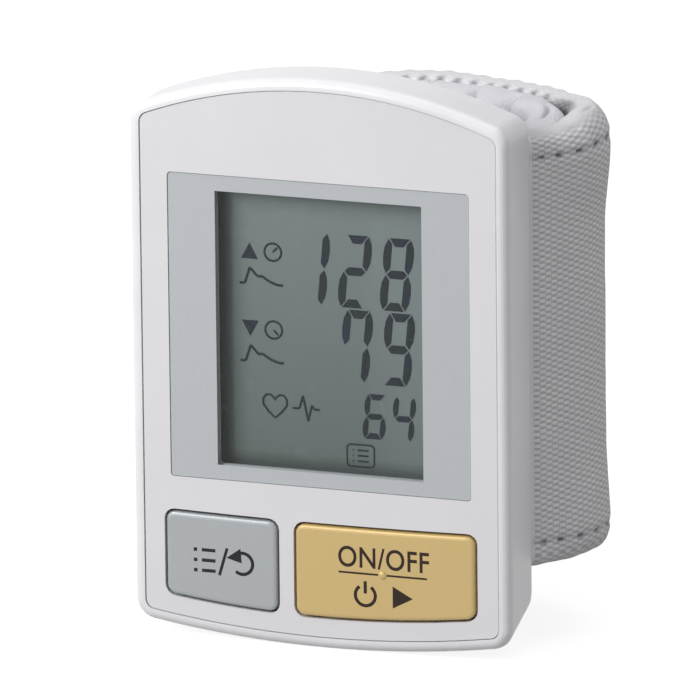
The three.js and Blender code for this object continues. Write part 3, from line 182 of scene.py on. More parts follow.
def cloudy(tree, spot, scale, detail=2, **more):
    """Soft noise, mostly between 0.3 and 0.7."""
    return add_node(tree, "TexNoise", Vector=spot, Scale=scale, Detail=detail, **more).outputs[0]


def bent(tree, height, relief, strength=1.0):
    """Normals that show a height, which is at most the relief in metres."""
    return add_node(tree, "Bump", Strength=strength, Distance=relief, Height=height).outputs[0]


def new_material(name):
    """An empty finish, with its node tree and its shader."""
    material = bpy.data.materials.new(name)
    material.use_nodes = True
    return material, material.node_tree, material.node_tree.nodes["Principled BSDF"]


# %% [markdown]
# ## Light, background and floor
# The monitor was photographed in a white studio: bright from the front left and from above, and about half
# as bright on its right side. A pale sky gives the even part, one large lamp at the upper left models the
# form, a second one lights the top and a faint one the right side. The white of the background is only for
# the eye: Light Path gives it to camera, mirror and glass rays, so it adds no light to the object.

# %% World: even light, and white where it is looked at
scene = bpy.context.scene
scene.view_settings.view_transform = "Standard"
world = bpy.data.worlds.new("white_studio")
scene.world = world
world.use_nodes = True
sky = world.node_tree
sky.nodes.clear()
even_light = 0.322


def seen_directly(tree):
    """1 for rays from the camera, in a mirror or through glass, and 0 for the light itself."""
    rays = add_node(tree, "LightPath")
    either = maths(tree, "MAXIMUM", rays.outputs["Is Camera Ray"], rays.outputs["Is Glossy Ray"])
    return maths(tree, "MAXIMUM", either, rays.outputs["Is Transmission Ray"])


soft, white = (add_node(sky, "Background", Color=(1, 1, 1, 1), Strength=s) for s in (even_light, 1.0))
chosen = add_node(sky, "MixShader")
for source, socket in zip((seen_directly(sky), soft.outputs[0], white.outputs[0]), chosen.inputs):
    plug(source, socket)
add_node(sky, "OutputWorld", Surface=chosen.outputs[0])
print("even light", even_light)


# %% Lamps
def softbox(name, at, aim, watts, size):
    """A square lamp at a point, turned to another point, in millimetres from the front plane."""
    data = bpy.data.lights.new(name, "AREA")
    data.energy, data.size = watts, size
    lamp = bpy.data.objects.new(name, data)
    scene.collection.objects.link(lamp)
    lamp.location = place(*at)
    lamp.rotation_euler = (place(*aim) - lamp.location).to_track_quat("-Z", "Y").to_euler()
    return lamp


middle = (0, 15, 45)  # of the monitor
key_lamp = softbox("key_softbox", (-367, -480, 373), middle, 3.75, 0.36)
top_lamp = softbox("top_softbox", (120, 30, 630), middle, 0.84, 0.4)
side_lamp = softbox("side_softbox", (430, -130, 130), middle, 0.09, 0.3)
print("lamps:", key_lamp.name, top_lamp.name, side_lamp.name)

# %% Floor that stays white but keeps the shadow
floor_mesh = bmesh.new()
bmesh.ops.create_grid(floor_mesh, x_segments=1, y_segments=1, size=4)
floor_data = bpy.data.meshes.new("pale_floor")
floor_mesh.to_mesh(floor_data)
floor_mesh.free()
floor = bpy.data.objects.new("pale_floor", floor_data)
scene.collection.objects.link(floor)

floor_grey = 0.34
floor_glow = 0.86  # seen by the eye alone, so that the floor looks white and the shadow stays
floor_finish, floor_tree, floor_paint = new_material("pale_floor")
fill_in(floor_paint, Base_Color=(floor_grey, floor_grey, floor_grey, 1), Roughness=0.9,
        Specular_IOR_Level=0.0, Emission_Color=(1, 1, 1, 1),
        Emission_Strength=maths(floor_tree, "MULTIPLY", seen_directly(floor_tree), floor_glow))
floor_data.materials.append(floor_finish)
print("floor", floor.name)

# %% [markdown]
# ## Moulded plastics, paint and metal
# A moulded part is never one flat colour. Its surface has a faint cloudiness from the melt, a fine texture
# from the tool, and spots that are a little glossier than others. All three come from noise on Object
# coordinates, so the pattern sticks to the part. One recipe with a few numbers serves the casing, the face,
# the inner parts, the rubber and the metals.


# %% A recipe for moulded, painted and metal surfaces
def moulded(name, colour, roughness, metallic=0.0, clouds=0.03, cloud_scale=90, grain_scale=2600,
            relief=0.000006, stretch=(1, 1, 1)):
    """A surface with cloudy colour, uneven gloss and a fine grain, on Object coordinates."""
    material, tree, shader = new_material(name)
    drawn = add_node(tree, "Mapping", Vector=object_spot(tree), Scale=stretch).outputs[0]
    cloud = cloudy(tree, drawn, cloud_scale, 4, Roughness=0.6)
    grain = cloudy(tree, drawn, grain_scale)
    uneven = maths(tree, "ADD", cloud, maths(tree, "MULTIPLY", grain, 0.5))
    dark, light = (toned(written(colour), 1 + change) for change in (-clouds, clouds))
    fill_in(shader, Base_Color=mixed(tree, ranged(tree, cloud, 0.3, 0.7, 0, 1), dark, light),
            Roughness=ranged(tree, uneven, 0.4, 1.1, roughness - 0.05, roughness + 0.05),
            Metallic=metallic, Normal=bent(tree, grain, relief))
    return material


def dress(material, *nodes):
    """Gives CAD nodes a material."""
    for name in nodes:
        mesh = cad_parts[name].data
        mesh.materials.clear()
        mesh.materials.append(material)


# %% Casing, face and inner parts
white_casing = moulded("white_casing", (238, 238, 241), 0.32, relief=0.000004)
face_finish = moulded("face_panel", (229, 228, 231), 0.36, clouds=0.015, relief=0.000003)
inner_plastic = moulded("inner_plastic", (196, 198, 200), 0.55)
dark_rubber = moulded("dark_rubber", (56, 57, 60), 0.75, clouds=0.1)
dark_package = moulded("dark_package", (38, 39, 42), 0.5, clouds=0.12)
reflector_film = moulded("reflector", (160, 168, 162), 0.4, clouds=0.05)
hose_rubber = moulded("hose", (216, 216, 210), 0.45, clouds=0.06)
cell_jacket = moulded("cell_jacket", (78, 110, 142), 0.3, metallic=0.35, clouds=0.08, cloud_scale=500,
                      stretch=(1, 1, 0.05))
steel = moulded("steel", (190, 192, 196), 0.28, metallic=1.0, clouds=0.06, grain_scale=5000,
                stretch=(1, 1, 0.08))

dress(white_casing, "front_housing", "rear_housing", "battery_cover")
dress(face_finish, "face_panel")
dress(inner_plastic, "lcd_frame", "pump_head", "air_block", "cuff_nipple", "cuff_plate", "cuff_clamp_right",
      "cuff_clamp_left", "cuff_stay")
dress(dark_rubber, "keypad_mat", "connector_strip_lower", "connector_strip_upper")
dress(dark_package, "processor_chip", "pressure_sensor", "sounder", "motor_capacitor",
      "memory_contact_pill", "start_contact_pill")
dress(reflector_film, "lcd_reflector")
dress(hose_rubber, "pump_hose", "valve_hose", "sensor_hose")
dress(cell_jacket, "cell_left", "cell_right")
dress(steel, "case_screw_1", "case_screw_2", "case_screw_3", "case_screw_4", "contact_positive",
      "contact_negative", "bridge_contact", "cell_spring", "pump_motor", "exhaust_valve", "clock_crystal")
print("dressed with moulded finishes")

# %% [markdown]
# ## Silver print and satin keys
# The surround of the display is silver ink behind the window, with tiny flakes. The keys are plastic with a
# satin metallic lacquer, silver and pale gold, whose flakes catch the light a little differently from point
# to point. Fine cells of noise give the flakes, and a thin coat gives the soft shine on the rounded edges.


# %% Lacquer with flakes
def flakes(tree, spot):
    """A random tone for each of many tiny cells."""
    cells = add_node(tree, "TexVoronoi", Vector=spot, Scale=9000)
    return add_node(tree, "RGBToBW", Color=cells.outputs["Color"]).outputs[0]


def flaked(name, colour, roughness, metallic, spread, coat=0.0):
    """A satin lacquer whose flakes differ a little in tone and gloss."""
    material, tree, shader = new_material(name)
    spot = object_spot(tree)
    tone = flakes(tree, spot)
    haze = cloudy(tree, spot, 140, 3)
    blend = maths(tree, "MULTIPLY_ADD", tone, 0.6, maths(tree, "MULTIPLY", haze, 0.4))
    dark, light = (toned(written(colour), 1 + change) for change in (-spread, spread))
    fill_in(shader, Base_Color=mixed(tree, blend, dark, light),
            Roughness=ranged(tree, tone, 0, 1, roughness - 0.06, roughness + 0.06), Metallic=metallic,
            Coat_Weight=coat, Coat_Roughness=0.2, Normal=bent(tree, tone, 0.000004, 0.6))
    return material


silver_print = flaked("silver_print", (192, 196, 200), 0.45, 0.15, 0.05)
silver_key = flaked("silver_key", (166, 170, 173), 0.38, 0.35, 0.07, coat=0.3)
gold_key = flaked("gold_key", (204, 176, 116), 0.38, 0.25, 0.06, coat=0.3)
green_board = moulded("circuit_board", (47, 107, 70), 0.4, clouds=0.15, cloud_scale=400)
dress(silver_print, "window_mask")
dress(silver_key, "memory_key")
dress(gold_key, "start_key")
dress(green_board, "main_board")
print("lacquers:", silver_key.name, gold_key.name)

# %% [markdown]
# ## Display glass and clear window
# A reflective display is grey-green: glass over a satin film. Its colour is painted lighter upwards and to
# the right, as painted light. A strip along its top is painted lighter still, against the shadow that the
# surround casts there, and a painted shadow of the surround darkens its left and lower edges. The window in
# front of it is clear acrylic with silver ink round the view, so that the ink looks level with the face.
# Real transmission would need many light paths and would export badly, so the clear part is a shader of low
# alpha and full gloss.

# %% Display glass
glass_low, glass_high = (corner.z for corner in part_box("lcd_glass"))
right_share = (5 * MM, 15 * MM)  # across which it is painted brighter, as painted light
lit_top_strip = (66.4 * MM, 69.2 * MM)  # up which it is painted lighter, against the surround's shadow
shadow_left, shadow_foot = (-16.4 * MM, -14.7 * MM), (27.2 * MM, 29.3 * MM)  # where the surround's painted shadow fades
display_glass, tree, shader = new_material("display_glass")
spot = object_spot(tree)
parts = add_node(tree, "SeparateXYZ", Vector=spot)
across, height = parts.outputs["X"], parts.outputs["Z"]
mottle = cloudy(tree, spot, 220, 3)
# Painted light: lighter upwards and to the right, with a little random mottle.
painted_light = ranged(tree, height, glass_low, glass_high, 0, 1)
painted_light = maths(tree, "ADD", painted_light, maths(tree, "MULTIPLY_ADD", mottle, 0.1, -0.05))
painted_light = maths(tree, "ADD", painted_light, ranged(tree, across, *right_share, 0, 0.45))
tint = mixed(tree, painted_light, written((103, 117, 113)), written((138, 151, 150)))
# Painted light: a lighter strip along the top, against the shadow that the surround casts there.
tint = mixed(tree, ranged(tree, height, *lit_top_strip, 0, 1), tint, written((146, 160, 159)))
# Painted shadow of the surround along the left and lower edges.
painted_shadow = maths(tree, "MULTIPLY", ranged(tree, across, *shadow_left, 0.12, 1),
             ranged(tree, height, *shadow_foot, 0.45, 1))
fill_in(shader, Base_Color=mixed(tree, painted_shadow, written((34, 36, 40)), tint),
        Roughness=ranged(tree, mottle, 0.3, 0.7, 0.24, 0.28), Specular_IOR_Level=0.25)
dress(display_glass, "lcd_glass")
print("display from", round(glass_low / MM, 1), "to", round(glass_high / MM, 1), "mm")

# %% Clear window with a silver border
view_half, view_low, view_high = 16.5 * MM, 27.27 * MM, 69.57 * MM
border_roughness, clear_roughness, clear_alpha = 0.36, 0.04, 0.08
clear_window, tree, shader = new_material("clear_window")
spot = object_spot(tree)
dust = cloudy(tree, spot, 60)
parts = add_node(tree, "SeparateXYZ", Vector=spot)
inside = maths(tree, "LESS_THAN", maths(tree, "ABSOLUTE", parts.outputs["X"]), view_half)
for operation, limit in (("GREATER_THAN", view_low), ("LESS_THAN", view_high)):
    inside = maths(tree, "MULTIPLY", inside, maths(tree, operation, parts.outputs["Z"], limit))
border = mixed(tree, flakes(tree, spot), written((184, 188, 192)), written((195, 199, 203)))
clear = mixed(tree, dust, (0.2, 0.21, 0.21), (0.24, 0.25, 0.25))
border_gloss = maths(tree, "MULTIPLY_ADD", dust, 0.02, border_roughness)
fill_in(shader, Base_Color=mixed(tree, inside, border, clear),
        Roughness=maths(tree, "MULTIPLY_ADD", inside, clear_roughness - border_roughness, border_gloss),
        Alpha=maths(tree, "MULTIPLY_ADD", inside, clear_alpha - 1.0, 1.0))
dress(clear_window, "display_window")
print("view", round(2 * view_half / MM, 1), "by", round((view_high - view_low) / MM, 1), "mm")

# %% [markdown]
# ## Figures on the display
# The figures are seven-segment digits: bars with pointed ends, leaning a few degrees. They could be a font,
# but the pointed bars are their own shapes, so each bar is an outline that is filled and given a hair of
# thickness just in front of the glass. The readings are plain numbers, and plain signs stand for what each
# one means.


# %% Flat shapes: outlines that are filled and extruded
def keep(bm, name, material, body):
    """Turns a bmesh into a finished piece that rides on a body."""
    bmesh.ops.recalc_face_normals(bm, faces=bm.faces)
    data = bpy.data.meshes.new(name)
    bm.to_mesh(data)
    bm.free()
    data.materials.append(material)
    piece = bpy.data.objects.new(name, data)
    scene.collection.objects.link(piece)
    if body:
        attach(piece, body)
    return piece


def fill(bm, outline, layer):
    """Fills an outline of points across and up, and extrudes it towards the reader."""
    depth, thickness = layer
    corners = [bm.verts.new(place(x, depth, z)) for x, z in outline]
    face = bmesh.ops.contextual_create(bm, geom=corners)["faces"]
    grown = bmesh.ops.extrude_face_region(bm, geom=face)["geom"]
    moved = [v for v in grown if isinstance(v, bmesh.types.BMVert)]
    bmesh.ops.translate(bm, verts=moved, vec=(0, -thickness * MM, 0))


def add_curve(bm, curve):
    """Adds a curve's mesh to a bmesh, removes the curve, and gives the new points."""
    stand_in = bpy.data.objects.new(curve.name, curve)
    start = len(bm.verts)
    bm.from_mesh(stand_in.to_mesh())
    bm.verts.ensure_lookup_table()
    stand_in.to_mesh_clear()
    bpy.data.objects.remove(stand_in)
    bpy.data.curves.remove(curve)
    return bm.verts[start:]


def rule(bm, points, width, layer, closed=False):
    """A drawn line: a curve with a round section, pressed flat."""
    depth, thickness = layer
    curve = bpy.data.curves.new("drawn_line", "CURVE")
    curve.dimensions = "3D"
    curve.bevel_depth = width / 2 * MM
    curve.bevel_resolution = 2
    curve.use_fill_caps = True
    spline = curve.splines.new("POLY")
    spline.points.add(len(points) - 1)
    for point, (x, z) in zip(spline.points, points):
        point.co = (x * MM, 0, z * MM, 1)
    spline.use_cyclic_u = closed
    fresh = add_curve(bm, curve)
    bmesh.ops.scale(bm, verts=fresh, vec=(1, thickness / width, 1))
    bmesh.ops.translate(bm, verts=fresh, vec=place(0, depth - thickness / 2, 0))


def strokes(bm, points, width, layer):
    """A line with sharp turns, drawn as one stroke for each leg, so that it keeps its width at a turn."""
    for leg in zip(points, points[1:]):
        rule(bm, leg, width, layer)


def ring(x, z, radius, start=0.0, end=360.0, steps=28):
    """Points on a circle, in degrees from the right."""
    turns = [math.radians(start + (end - start) * i / steps) for i in range(steps + 1)]
    return [(x + radius * math.cos(t), z + radius * math.sin(t)) for t in turns]


# %% One digit
lit_bars = {"0": "abcdef", "1": "bc", "2": "abdeg", "3": "abcdg", "4": "bcfg", "5": "acdfg", "6": "acdefg",
            "7": "abcf", "8": "abcdefg", "9": "abcdfg"}
lean = math.tan(math.radians(5.5))


def bars(width, height, thick):
    """The outlines of the seven bars of a digit whose lower left corner is at zero."""
    gap = thick * 0.09
    half = height / 2

    def upright_bar(x, z, inward):
        low, high = z + gap, z + half - gap
        tip = thick * 0.62
        middle_x, inner_x, shoulder_x = (x + inward * thick * share for share in (0.5, 1, 0.1))
        return [(middle_x, low), (inner_x, low + tip), (inner_x, high - tip), (middle_x, high),
                (shoulder_x, high - tip * 1.5), (x, (low + high) / 2), (shoulder_x, low + tip * 1.5)]

    def level_bar(z, towards):
        left = thick * 0.5 + gap * 1.6
        cut = thick * 0.72
        inner_z = z + towards * thick
        return [(left, z), (width - left, z), (width - left - cut, inner_z), (left + cut, inner_z)]

    near, far = thick * 0.62, thick * 1.1
    upper, lower = half + thick / 2, half - thick / 2
    centre_bar = [(near, half), (far, upper), (width - far, upper), (width - near, half),
                  (width - far, lower), (far, lower)]
    return {"a": level_bar(height, -1), "d": level_bar(0, 1), "g": centre_bar,
            "f": upright_bar(0, half, 1), "b": upright_bar(width, half, -1),
            "e": upright_bar(0, 0, 1), "c": upright_bar(width, 0, -1)}


def draw_digit(bm, digit, x, z, width, height, thick, layer):
    for name, outline in bars(width, height, thick).items():
        if name in lit_bars[digit]:
            fill(bm, [(x + px + pz * lean, z + pz) for px, pz in outline], layer)


# %% The three readings
lcd_ink, tree, shader = new_material("lcd_ink")
ink_cloud = ranged(tree, cloudy(tree, object_spot(tree), 260), 0.35, 0.65, 0, 1)
fill_in(shader, Base_Color=mixed(tree, ink_cloud, written((28, 40, 40)), written((33, 40, 58))),
        Roughness=0.4, Specular_IOR_Level=0.1)

glass_front = (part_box("lcd_glass")[0].y - front_plane) / MM
on_glass = (glass_front - 0.02, 0.03)  # how far behind the front plane a sign lies, and how thick it is
large_digit, small_digit = (4.9, 11.2, 1.3), (3.7, 6.95, 0.92)  # width, height and width of a bar
readings = [("128", 8.35, 52.4, large_digit, 6.7), ("79", 8.4, 40.9, large_digit, 6.7),
            ("64", 10.0, 32.4, small_digit, 4.55)]
figures = bmesh.new()
for digits, last_x, foot, sizes, pitch in readings:
    for i, digit in enumerate(reversed(digits)):
        draw_digit(figures, digit, last_x - pitch * i, foot, *sizes, on_glass)
keep(figures, "display_figures", lcd_ink, "casing")
print("readings:", [r[0] for r in readings])

# %% Signs beside the readings
signs = bmesh.new()
thin_line, sign_line, wave_line = 0.3, 0.36, 0.4


def pulse_wave(x, z, width, height):
    """A pressure wave: a steep rise, a shoulder and a slow fall."""
    shape = [(0, 0.1), (0.12, 0.1), (0.24, 1), (0.34, 0.72), (0.42, 0.5), (0.5, 0.56), (0.7, 0.25),
             (0.88, 0.1), (1, 0.1)]
    return [(x + px * width, z + pz * height) for px, pz in shape]


# Each pressure has an arrow, a dial and a wave.
for foot, upwards in ((54.7, 1), (42.7, -1)):
    strokes(signs, pulse_wave(-13.9, foot, 7.0, 2.7), wave_line, on_glass)
    level = foot + 5.3
    fill(signs, [(-13.6, level - 1.25 * upwards), (-10.9, level - 1.25 * upwards),
                 (-12.25, level + 1.25 * upwards)], on_glass)
    rule(signs, ring(-8.5, level, 1.35), 0.34, on_glass, closed=True)
    rule(signs, [(-8.5, level), (-7.75, level + 0.75 * upwards)], 0.34, on_glass)

# The pulse has a heart, whose right half is mirrored, and a line.
half_heart = [(1.0, -0.8), (1.7, 0.1), (1.75, 0.9), (1.3, 1.5), (0.7, 1.55), (0.2, 1.2)]
heart = [(0, -1.7), *half_heart, (0, 0.8), *((-x, z) for x, z in reversed(half_heart))]
rule(signs, [(-8.4 + x * 1.1, 36.3 + z * 1.1) for x, z in heart], sign_line, on_glass, closed=True)
strokes(signs, [(-5.6, 36.2), (-4.5, 36.2), (-3.9, 38.2), (-3.1, 34.3), (-2.5, 36.8), (-2.1, 36.2),
                (-1.2, 36.2)], sign_line, on_glass)

# A small list in a box stands for the stored readings.
box_left, box_right, box_low, box_high, box_cut = 3.1, 7.45, 27.95, 31.35, 0.4
rule(signs, [(box_left + box_cut, box_low), (box_right - box_cut, box_low),
             (box_right, box_low + box_cut), (box_right, box_high - box_cut),
             (box_right - box_cut, box_high), (box_left + box_cut, box_high),
             (box_left, box_high - box_cut), (box_left, box_low + box_cut)],
     thin_line, on_glass, closed=True)
for i in range(3):
    z = box_low + 0.85 + 0.85 * i
    rule(signs, [(box_left + 1.7, z), (box_right - 0.9, z)], thin_line, on_glass)
    rule(signs, [(box_left + 0.9, z), (box_left + 1.05, z)], thin_line, on_glass)
keep(signs, "display_signs", lcd_ink, "casing")
print("signs drawn")

# %% [markdown]
# ## Prints on the keys
# The keys carry dark pad-printed signs. The right one says ON/OFF over a line, with a start sign below it;
# the left one shows a list and an arrow that turns back, for the stored readings. They ride on the keys'
# own bodies, so they move when a key is pressed.


# %% Prints on the keys
def key_ink(name, colour):
    """Dull ink, worn a little unevenly."""
    material, tree, shader = new_material(name)
    linear = written(colour)
    wear = cloudy(tree, object_spot(tree), 900, 3)
    fill_in(shader, Base_Color=mixed(tree, wear, linear, toned(linear, 1.35)), Roughness=0.45,
            Specular_IOR_Level=0.2)
    return material


def lettering(bm, words, x, z, cap_height, layer, stretch=1.0):
    """Words of the plain font, centred at a point."""
    depth, thickness = layer
    curve = bpy.data.curves.new("lettering", "FONT")
    curve.body = words
    curve.align_x, curve.align_y = "CENTER", "CENTER"
    curve.size = cap_height / 0.72 * MM  # the font's capitals are 0.72 of its size
    curve.space_character = 1.06
    curve.extrude = thickness / 2 * MM
    curve.offset = 0.05 * MM
    turn = Matrix.Translation(place(x, depth - thickness / 2, z)) @ Matrix.Rotation(math.pi / 2, 4, "X")
    bmesh.ops.transform(bm, matrix=turn @ Matrix.Diagonal((stretch, 1, 1, 1)), verts=add_curve(bm, curve))


key_front = (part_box("memory_key")[0].y - front_plane) / MM
on_key = (key_front + 0.004, 0.025)  # a print, sunk by a hair
sign_width = 0.52
start_print = bmesh.new()
lettering(start_print, "ON/OFF", 10.15, 14.75, 3.25, on_key, 0.86)
for left, right_end in ((2.95, 9.3), (10.7, 17.1)):
    rule(start_print, [(left, 12.45), (right_end, 12.45)], 0.3, on_key)
rule(start_print, ring(7.2, 9.1, 1.6, 125, 415), sign_width, on_key)
rule(start_print, [(7.2, 9.4), (7.2, 11.3)], sign_width, on_key)
fill(start_print, [(11.6, 7.45), (14.8, 9.15), (11.6, 10.85)], on_key)
keep(start_print, "start_key_print", key_ink("start_key_ink", (44, 32, 26)), "start_button")

memory_print = bmesh.new()
dot_x, dot_wide, dot_tall = -20.125, 0.275, 0.27  # half sizes
for i in range(3):
    z = 10.75 + 1.6 * i
    fill(memory_print, [(dot_x - dot_wide, z - dot_tall), (dot_x + dot_wide, z - dot_tall),
                        (dot_x + dot_wide, z + dot_tall), (dot_x - dot_wide, z + dot_tall)], on_key)
    rule(memory_print, [(-19.1, z), (-16.9, z)], sign_width, on_key)
rule(memory_print, [(-16.3, 10.2), (-15.0, 14.5)], 0.46, on_key)
loop = ring(-12.55, 12.3, 1.65, -130, 130)
rule(memory_print, loop, sign_width, on_key)
tip_x, tip_z = loop[-1]
fill(memory_print, [(tip_x + 0.75, tip_z + 1.05), (tip_x - 1.5, tip_z - 0.55), (tip_x + 0.95, tip_z - 1.2)],
     on_key)
keep(memory_print, "memory_key_print", key_ink("memory_key_ink", (34, 35, 40)), "memory_button")
print("key prints at depth", round(on_key[0], 3), "mm")

# %% [markdown]
# ## Woven cloth
# The cuff's cover is heavy nylon, woven so that short, fat floats of yarn stand out like a checkerboard,
# about 1.1 mm apart along the band and 0.45 mm up it. The lower yarn between them is painted darker: partly
# its own darker colour, partly painted shade. The pattern is worked out from the cloth's own UV map, which
# holds metres along the band and across it, so it follows every bend. Two sine waves make each float a small
# cushion. Its height drives colour, roughness and bump. Where the cloth turns over at an edge, its painted
# shade and relief are calmed as painted light, and a plain strip at the casing is painted light.

# %% Woven cloth from a UV map in metres
float_length, float_height = 1.1 * MM, 0.455 * MM
lit_root_end = 2.1 * MM


def cloth_inputs(tree):
    """The cloth's own UV map, and the painted shade and painted edge light of each place."""
    kinds = [add_node(tree, "Attribute", attribute_name=kind).outputs["Fac"] for kind in ("painted_shade", "lit_edge")]
    return add_node(tree, "UVMap", uv_map="cloth").outputs[0], *kinds


def woven(name, light, dark, shaded):
    """Fat floats of yarn in a checkerboard; the lower yarn between them is painted darker, partly its own
    colour and partly shade.
    """
    material, tree, shader = new_material(name)
    flat, painted_shade, lit_edge = cloth_inputs(tree)
    wobble = add_node(tree, "TexNoise", Vector=flat, Scale=260, Detail=3).outputs["Color"]
    drift = add_node(tree, "VectorMath", operation="MULTIPLY_ADD")
    for value, socket in zip((wobble, (0.00034, 0.0002, 0), flat), drift.inputs):
        plug(value, socket)
    parts = add_node(tree, "SeparateXYZ", Vector=drift.outputs[0])
    wave, crossing = (maths(tree, "SINE", maths(tree, "MULTIPLY", parts.outputs[axis], math.pi / pitch))
                      for axis, pitch in (("X", float_length), ("Y", float_height)))
    # Positive squares hold the long floats on top, negative ones the crossing yarn a little lower.
    lift = maths(tree, "MULTIPLY_ADD", maths(tree, "MULTIPLY", wave, crossing), 0.55, 0.5)
    between = maths(tree, "SUBTRACT", 1.0, ranged(tree, maths(tree, "ABSOLUTE", wave), 0.05, 0.5, 0, 1))
    lift = maths(tree, "SUBTRACT", lift, maths(tree, "MULTIPLY", between, 0.22))
    stretched = add_node(tree, "Mapping", Vector=flat, Scale=(1, 6, 1)).outputs[0]
    fibre = cloudy(tree, stretched, 4200)
    lift = maths(tree, "ADD", lift, maths(tree, "MULTIPLY_ADD", fibre, 0.4, -0.2))
    # Where the cloth turns over an edge its painted shade and relief are calmed, as painted light; a strip at
    # the casing is painted plain and light.
    calm = maths(tree, "SUBTRACT", 1.0, maths(tree, "MULTIPLY", lit_edge, 0.92))
    depth = maths(tree, "MULTIPLY_ADD", maths(tree, "SUBTRACT", lift, 0.3), calm, 0.3)
    along = add_node(tree, "SeparateXYZ", Vector=flat).outputs["X"]
    # Painted light: the first 2.1 mm at the casing are plain and light.
    lit_root = ranged(tree, along, lit_root_end - 0.2 * MM, lit_root_end + 0.2 * MM, 0.9, 0)
    depth = maths(tree, "MAXIMUM", depth, lit_root)
    # Colour follows height: lower yarn is painted darker, partly its own colour and partly painted shade
    # between the floats.
    yarn = mixed(tree, ranged(tree, depth, 0.15, 0.62, 0, 1), dark, light)
    cloud = cloudy(tree, object_spot(tree), 120, 4)
    yarn = mixed(tree, ranged(tree, cloud, 0.3, 0.7, 0, 0.14), yarn, dark)
    # The painted shade attribute darkens the yarn towards the shade colour.
    fill_in(shader, Base_Color=mixed(tree, painted_shade, yarn, shaded),
            Roughness=ranged(tree, lift, 0, 1, 0.95, 0.7), Sheen_Weight=0.7, Sheen_Roughness=0.4,
            Specular_IOR_Level=0.3, Normal=bent(tree, depth, 0.13 * MM))
    return material


woven_cloth = woven("woven_cloth", written((254, 254, 255)), written((203, 203, 209)),
                    written((88, 88, 96)))
print("woven cloth: floats of", float_length / MM, "by", float_height / MM, "mm")

# %% [markdown]
# ## Lining cloth and hook tape
# The side that touches the wrist is a soft, brushed knit: no yarns to see, only a fine felt with a faint
# bloom, and painted shade where it is drawn in. The hook tape is a grid of tiny hooks, with painted shade
# between them.


# %% Lining and hook tape
def brushed(name, colour):
    """A felted knit with a faint bloom."""
    material, tree, shader = new_material(name)
    flat, painted_shade, _ = cloth_inputs(tree)
    spot = object_spot(tree)
    knit = add_node(tree, "TexVoronoi", Vector=flat, Scale=2600).outputs["Distance"]
    felt = cloudy(tree, spot, 2400, 4, Roughness=0.7)
    cloud = cloudy(tree, spot, 160, 3)
    linear = written(colour)
    tone = mixed(tree, ranged(tree, felt, 0.3, 0.7, 0, 1), toned(linear, 0.86), linear)
    tone = mixed(tree, ranged(tree, cloud, 0.3, 0.7, 0, 0.25), tone, toned(linear, 0.8))
    # Painted shade where the attribute says so.
    tone = mixed(tree, maths(tree, "MULTIPLY", painted_shade, 0.75), tone, toned(linear, 0.35))
    lift = maths(tree, "ADD", maths(tree, "MULTIPLY", knit, 0.6), felt)
    fill_in(shader, Base_Color=tone, Roughness=ranged(tree, felt, 0.3, 0.7, 0.85, 1), Sheen_Weight=0.35,
            Sheen_Roughness=0.5, Specular_IOR_Level=0.2, Normal=bent(tree, lift, 0.12 * MM, 0.8))
    return material


lining_cloth = brushed("lining_cloth", (229, 229, 235))
hook_finish, tree, shader = new_material("hook_tape")
hook_grid = add_node(tree, "TexVoronoi", Vector=cloth_inputs(tree)[0], Scale=900, Randomness=0.25)
hooks = hook_grid.outputs["Distance"]
shade_between_hooks = ranged(tree, hooks, 0.1, 0.5, 0, 1)
# Painted shade between the hooks.
fill_in(shader, Base_Color=mixed(tree, shade_between_hooks, written((168, 169, 175)), written((96, 97, 103))),
        Roughness=0.6, Normal=bent(tree, maths(tree, "SUBTRACT", 1.0, hooks), 0.4 * MM))
air_film = moulded("bladder", (200, 185, 160), 0.5, clouds=0.08)
print("lining:", lining_cloth.name)

# %% [markdown]
# ## The line that the cuff follows
# The band leaves the casing at the right, bulges, passes behind the wrist and comes round the left side.
# Its middle line is four smooth curves end to end. Each piece of the cuff is laid out flat, as a tailor
# cuts it: length along the line, height up it, and distance out from it. It is shaped there, where a seam
# or a dimple is easy to place, and then every point is carried onto the line.

# %% The cuff's middle line
root = (29.2, 13.5)
bulge = (33.7, 25.0)
apex_depth, bulge_lead, apex_lead = 42.6, 6.4, 11.0
root_lead = (bulge[1] - root[1]) * 0.55
right_side = [root, (root[0] + (bulge[0] - root[0]) / 3, root[1] + root_lead / 2),
              (bulge[0], bulge[1] - root_lead), bulge]
right_back = [bulge, (bulge[0], bulge[1] + bulge_lead), (apex_lead, apex_depth), (0, apex_depth)]


def bezier(corners, steps=240):
    """Points on a smooth curve between the first and the last of four points."""
    a, b, c, d = (np.array(p, float) for p in corners)
    t = np.linspace(0, 1, steps)[:, None]
    return a * (1 - t) ** 3 + 3 * b * t * (1 - t) ** 2 + 3 * c * t * t * (1 - t) + d * t**3


def measured(line):
    """Distances along a line of points, and the way that it heads at each of them."""
    distance = np.concatenate([[0], np.cumsum(np.linalg.norm(np.diff(line, axis=0), axis=1))])
    ahead = np.gradient(line, distance, axis=0)
    return distance, ahead / np.linalg.norm(ahead, axis=1)[:, None]


right_half = np.concatenate([bezier(right_side), bezier(right_back)[1:]])
cuff_line = np.concatenate([right_half, (right_half * (-1, 1))[::-1][1:]])
reach, heading = measured(cuff_line)
cuff_length = float(reach[-1])
cuff_low, cuff_high = 12.3, 79.7
cuff_middle = (cuff_low + cuff_high) / 2
half_band = 2.6  # half of the band's thickness


def on_line(s, line=cuff_line, distance=reach, ahead=heading):
    """Points and headings at distances along a line, which runs straight on before its start."""
    inside = np.clip(s, 0, distance[-1])
    point = np.stack([np.interp(inside, distance, line[:, k]) for k in (0, 1)], axis=-1)
    way = np.stack([np.interp(inside, distance, ahead[:, k]) for k in (0, 1)], axis=-1)
    way /= np.linalg.norm(way, axis=-1)[..., None]
    return point + way * (s - inside)[..., None], way


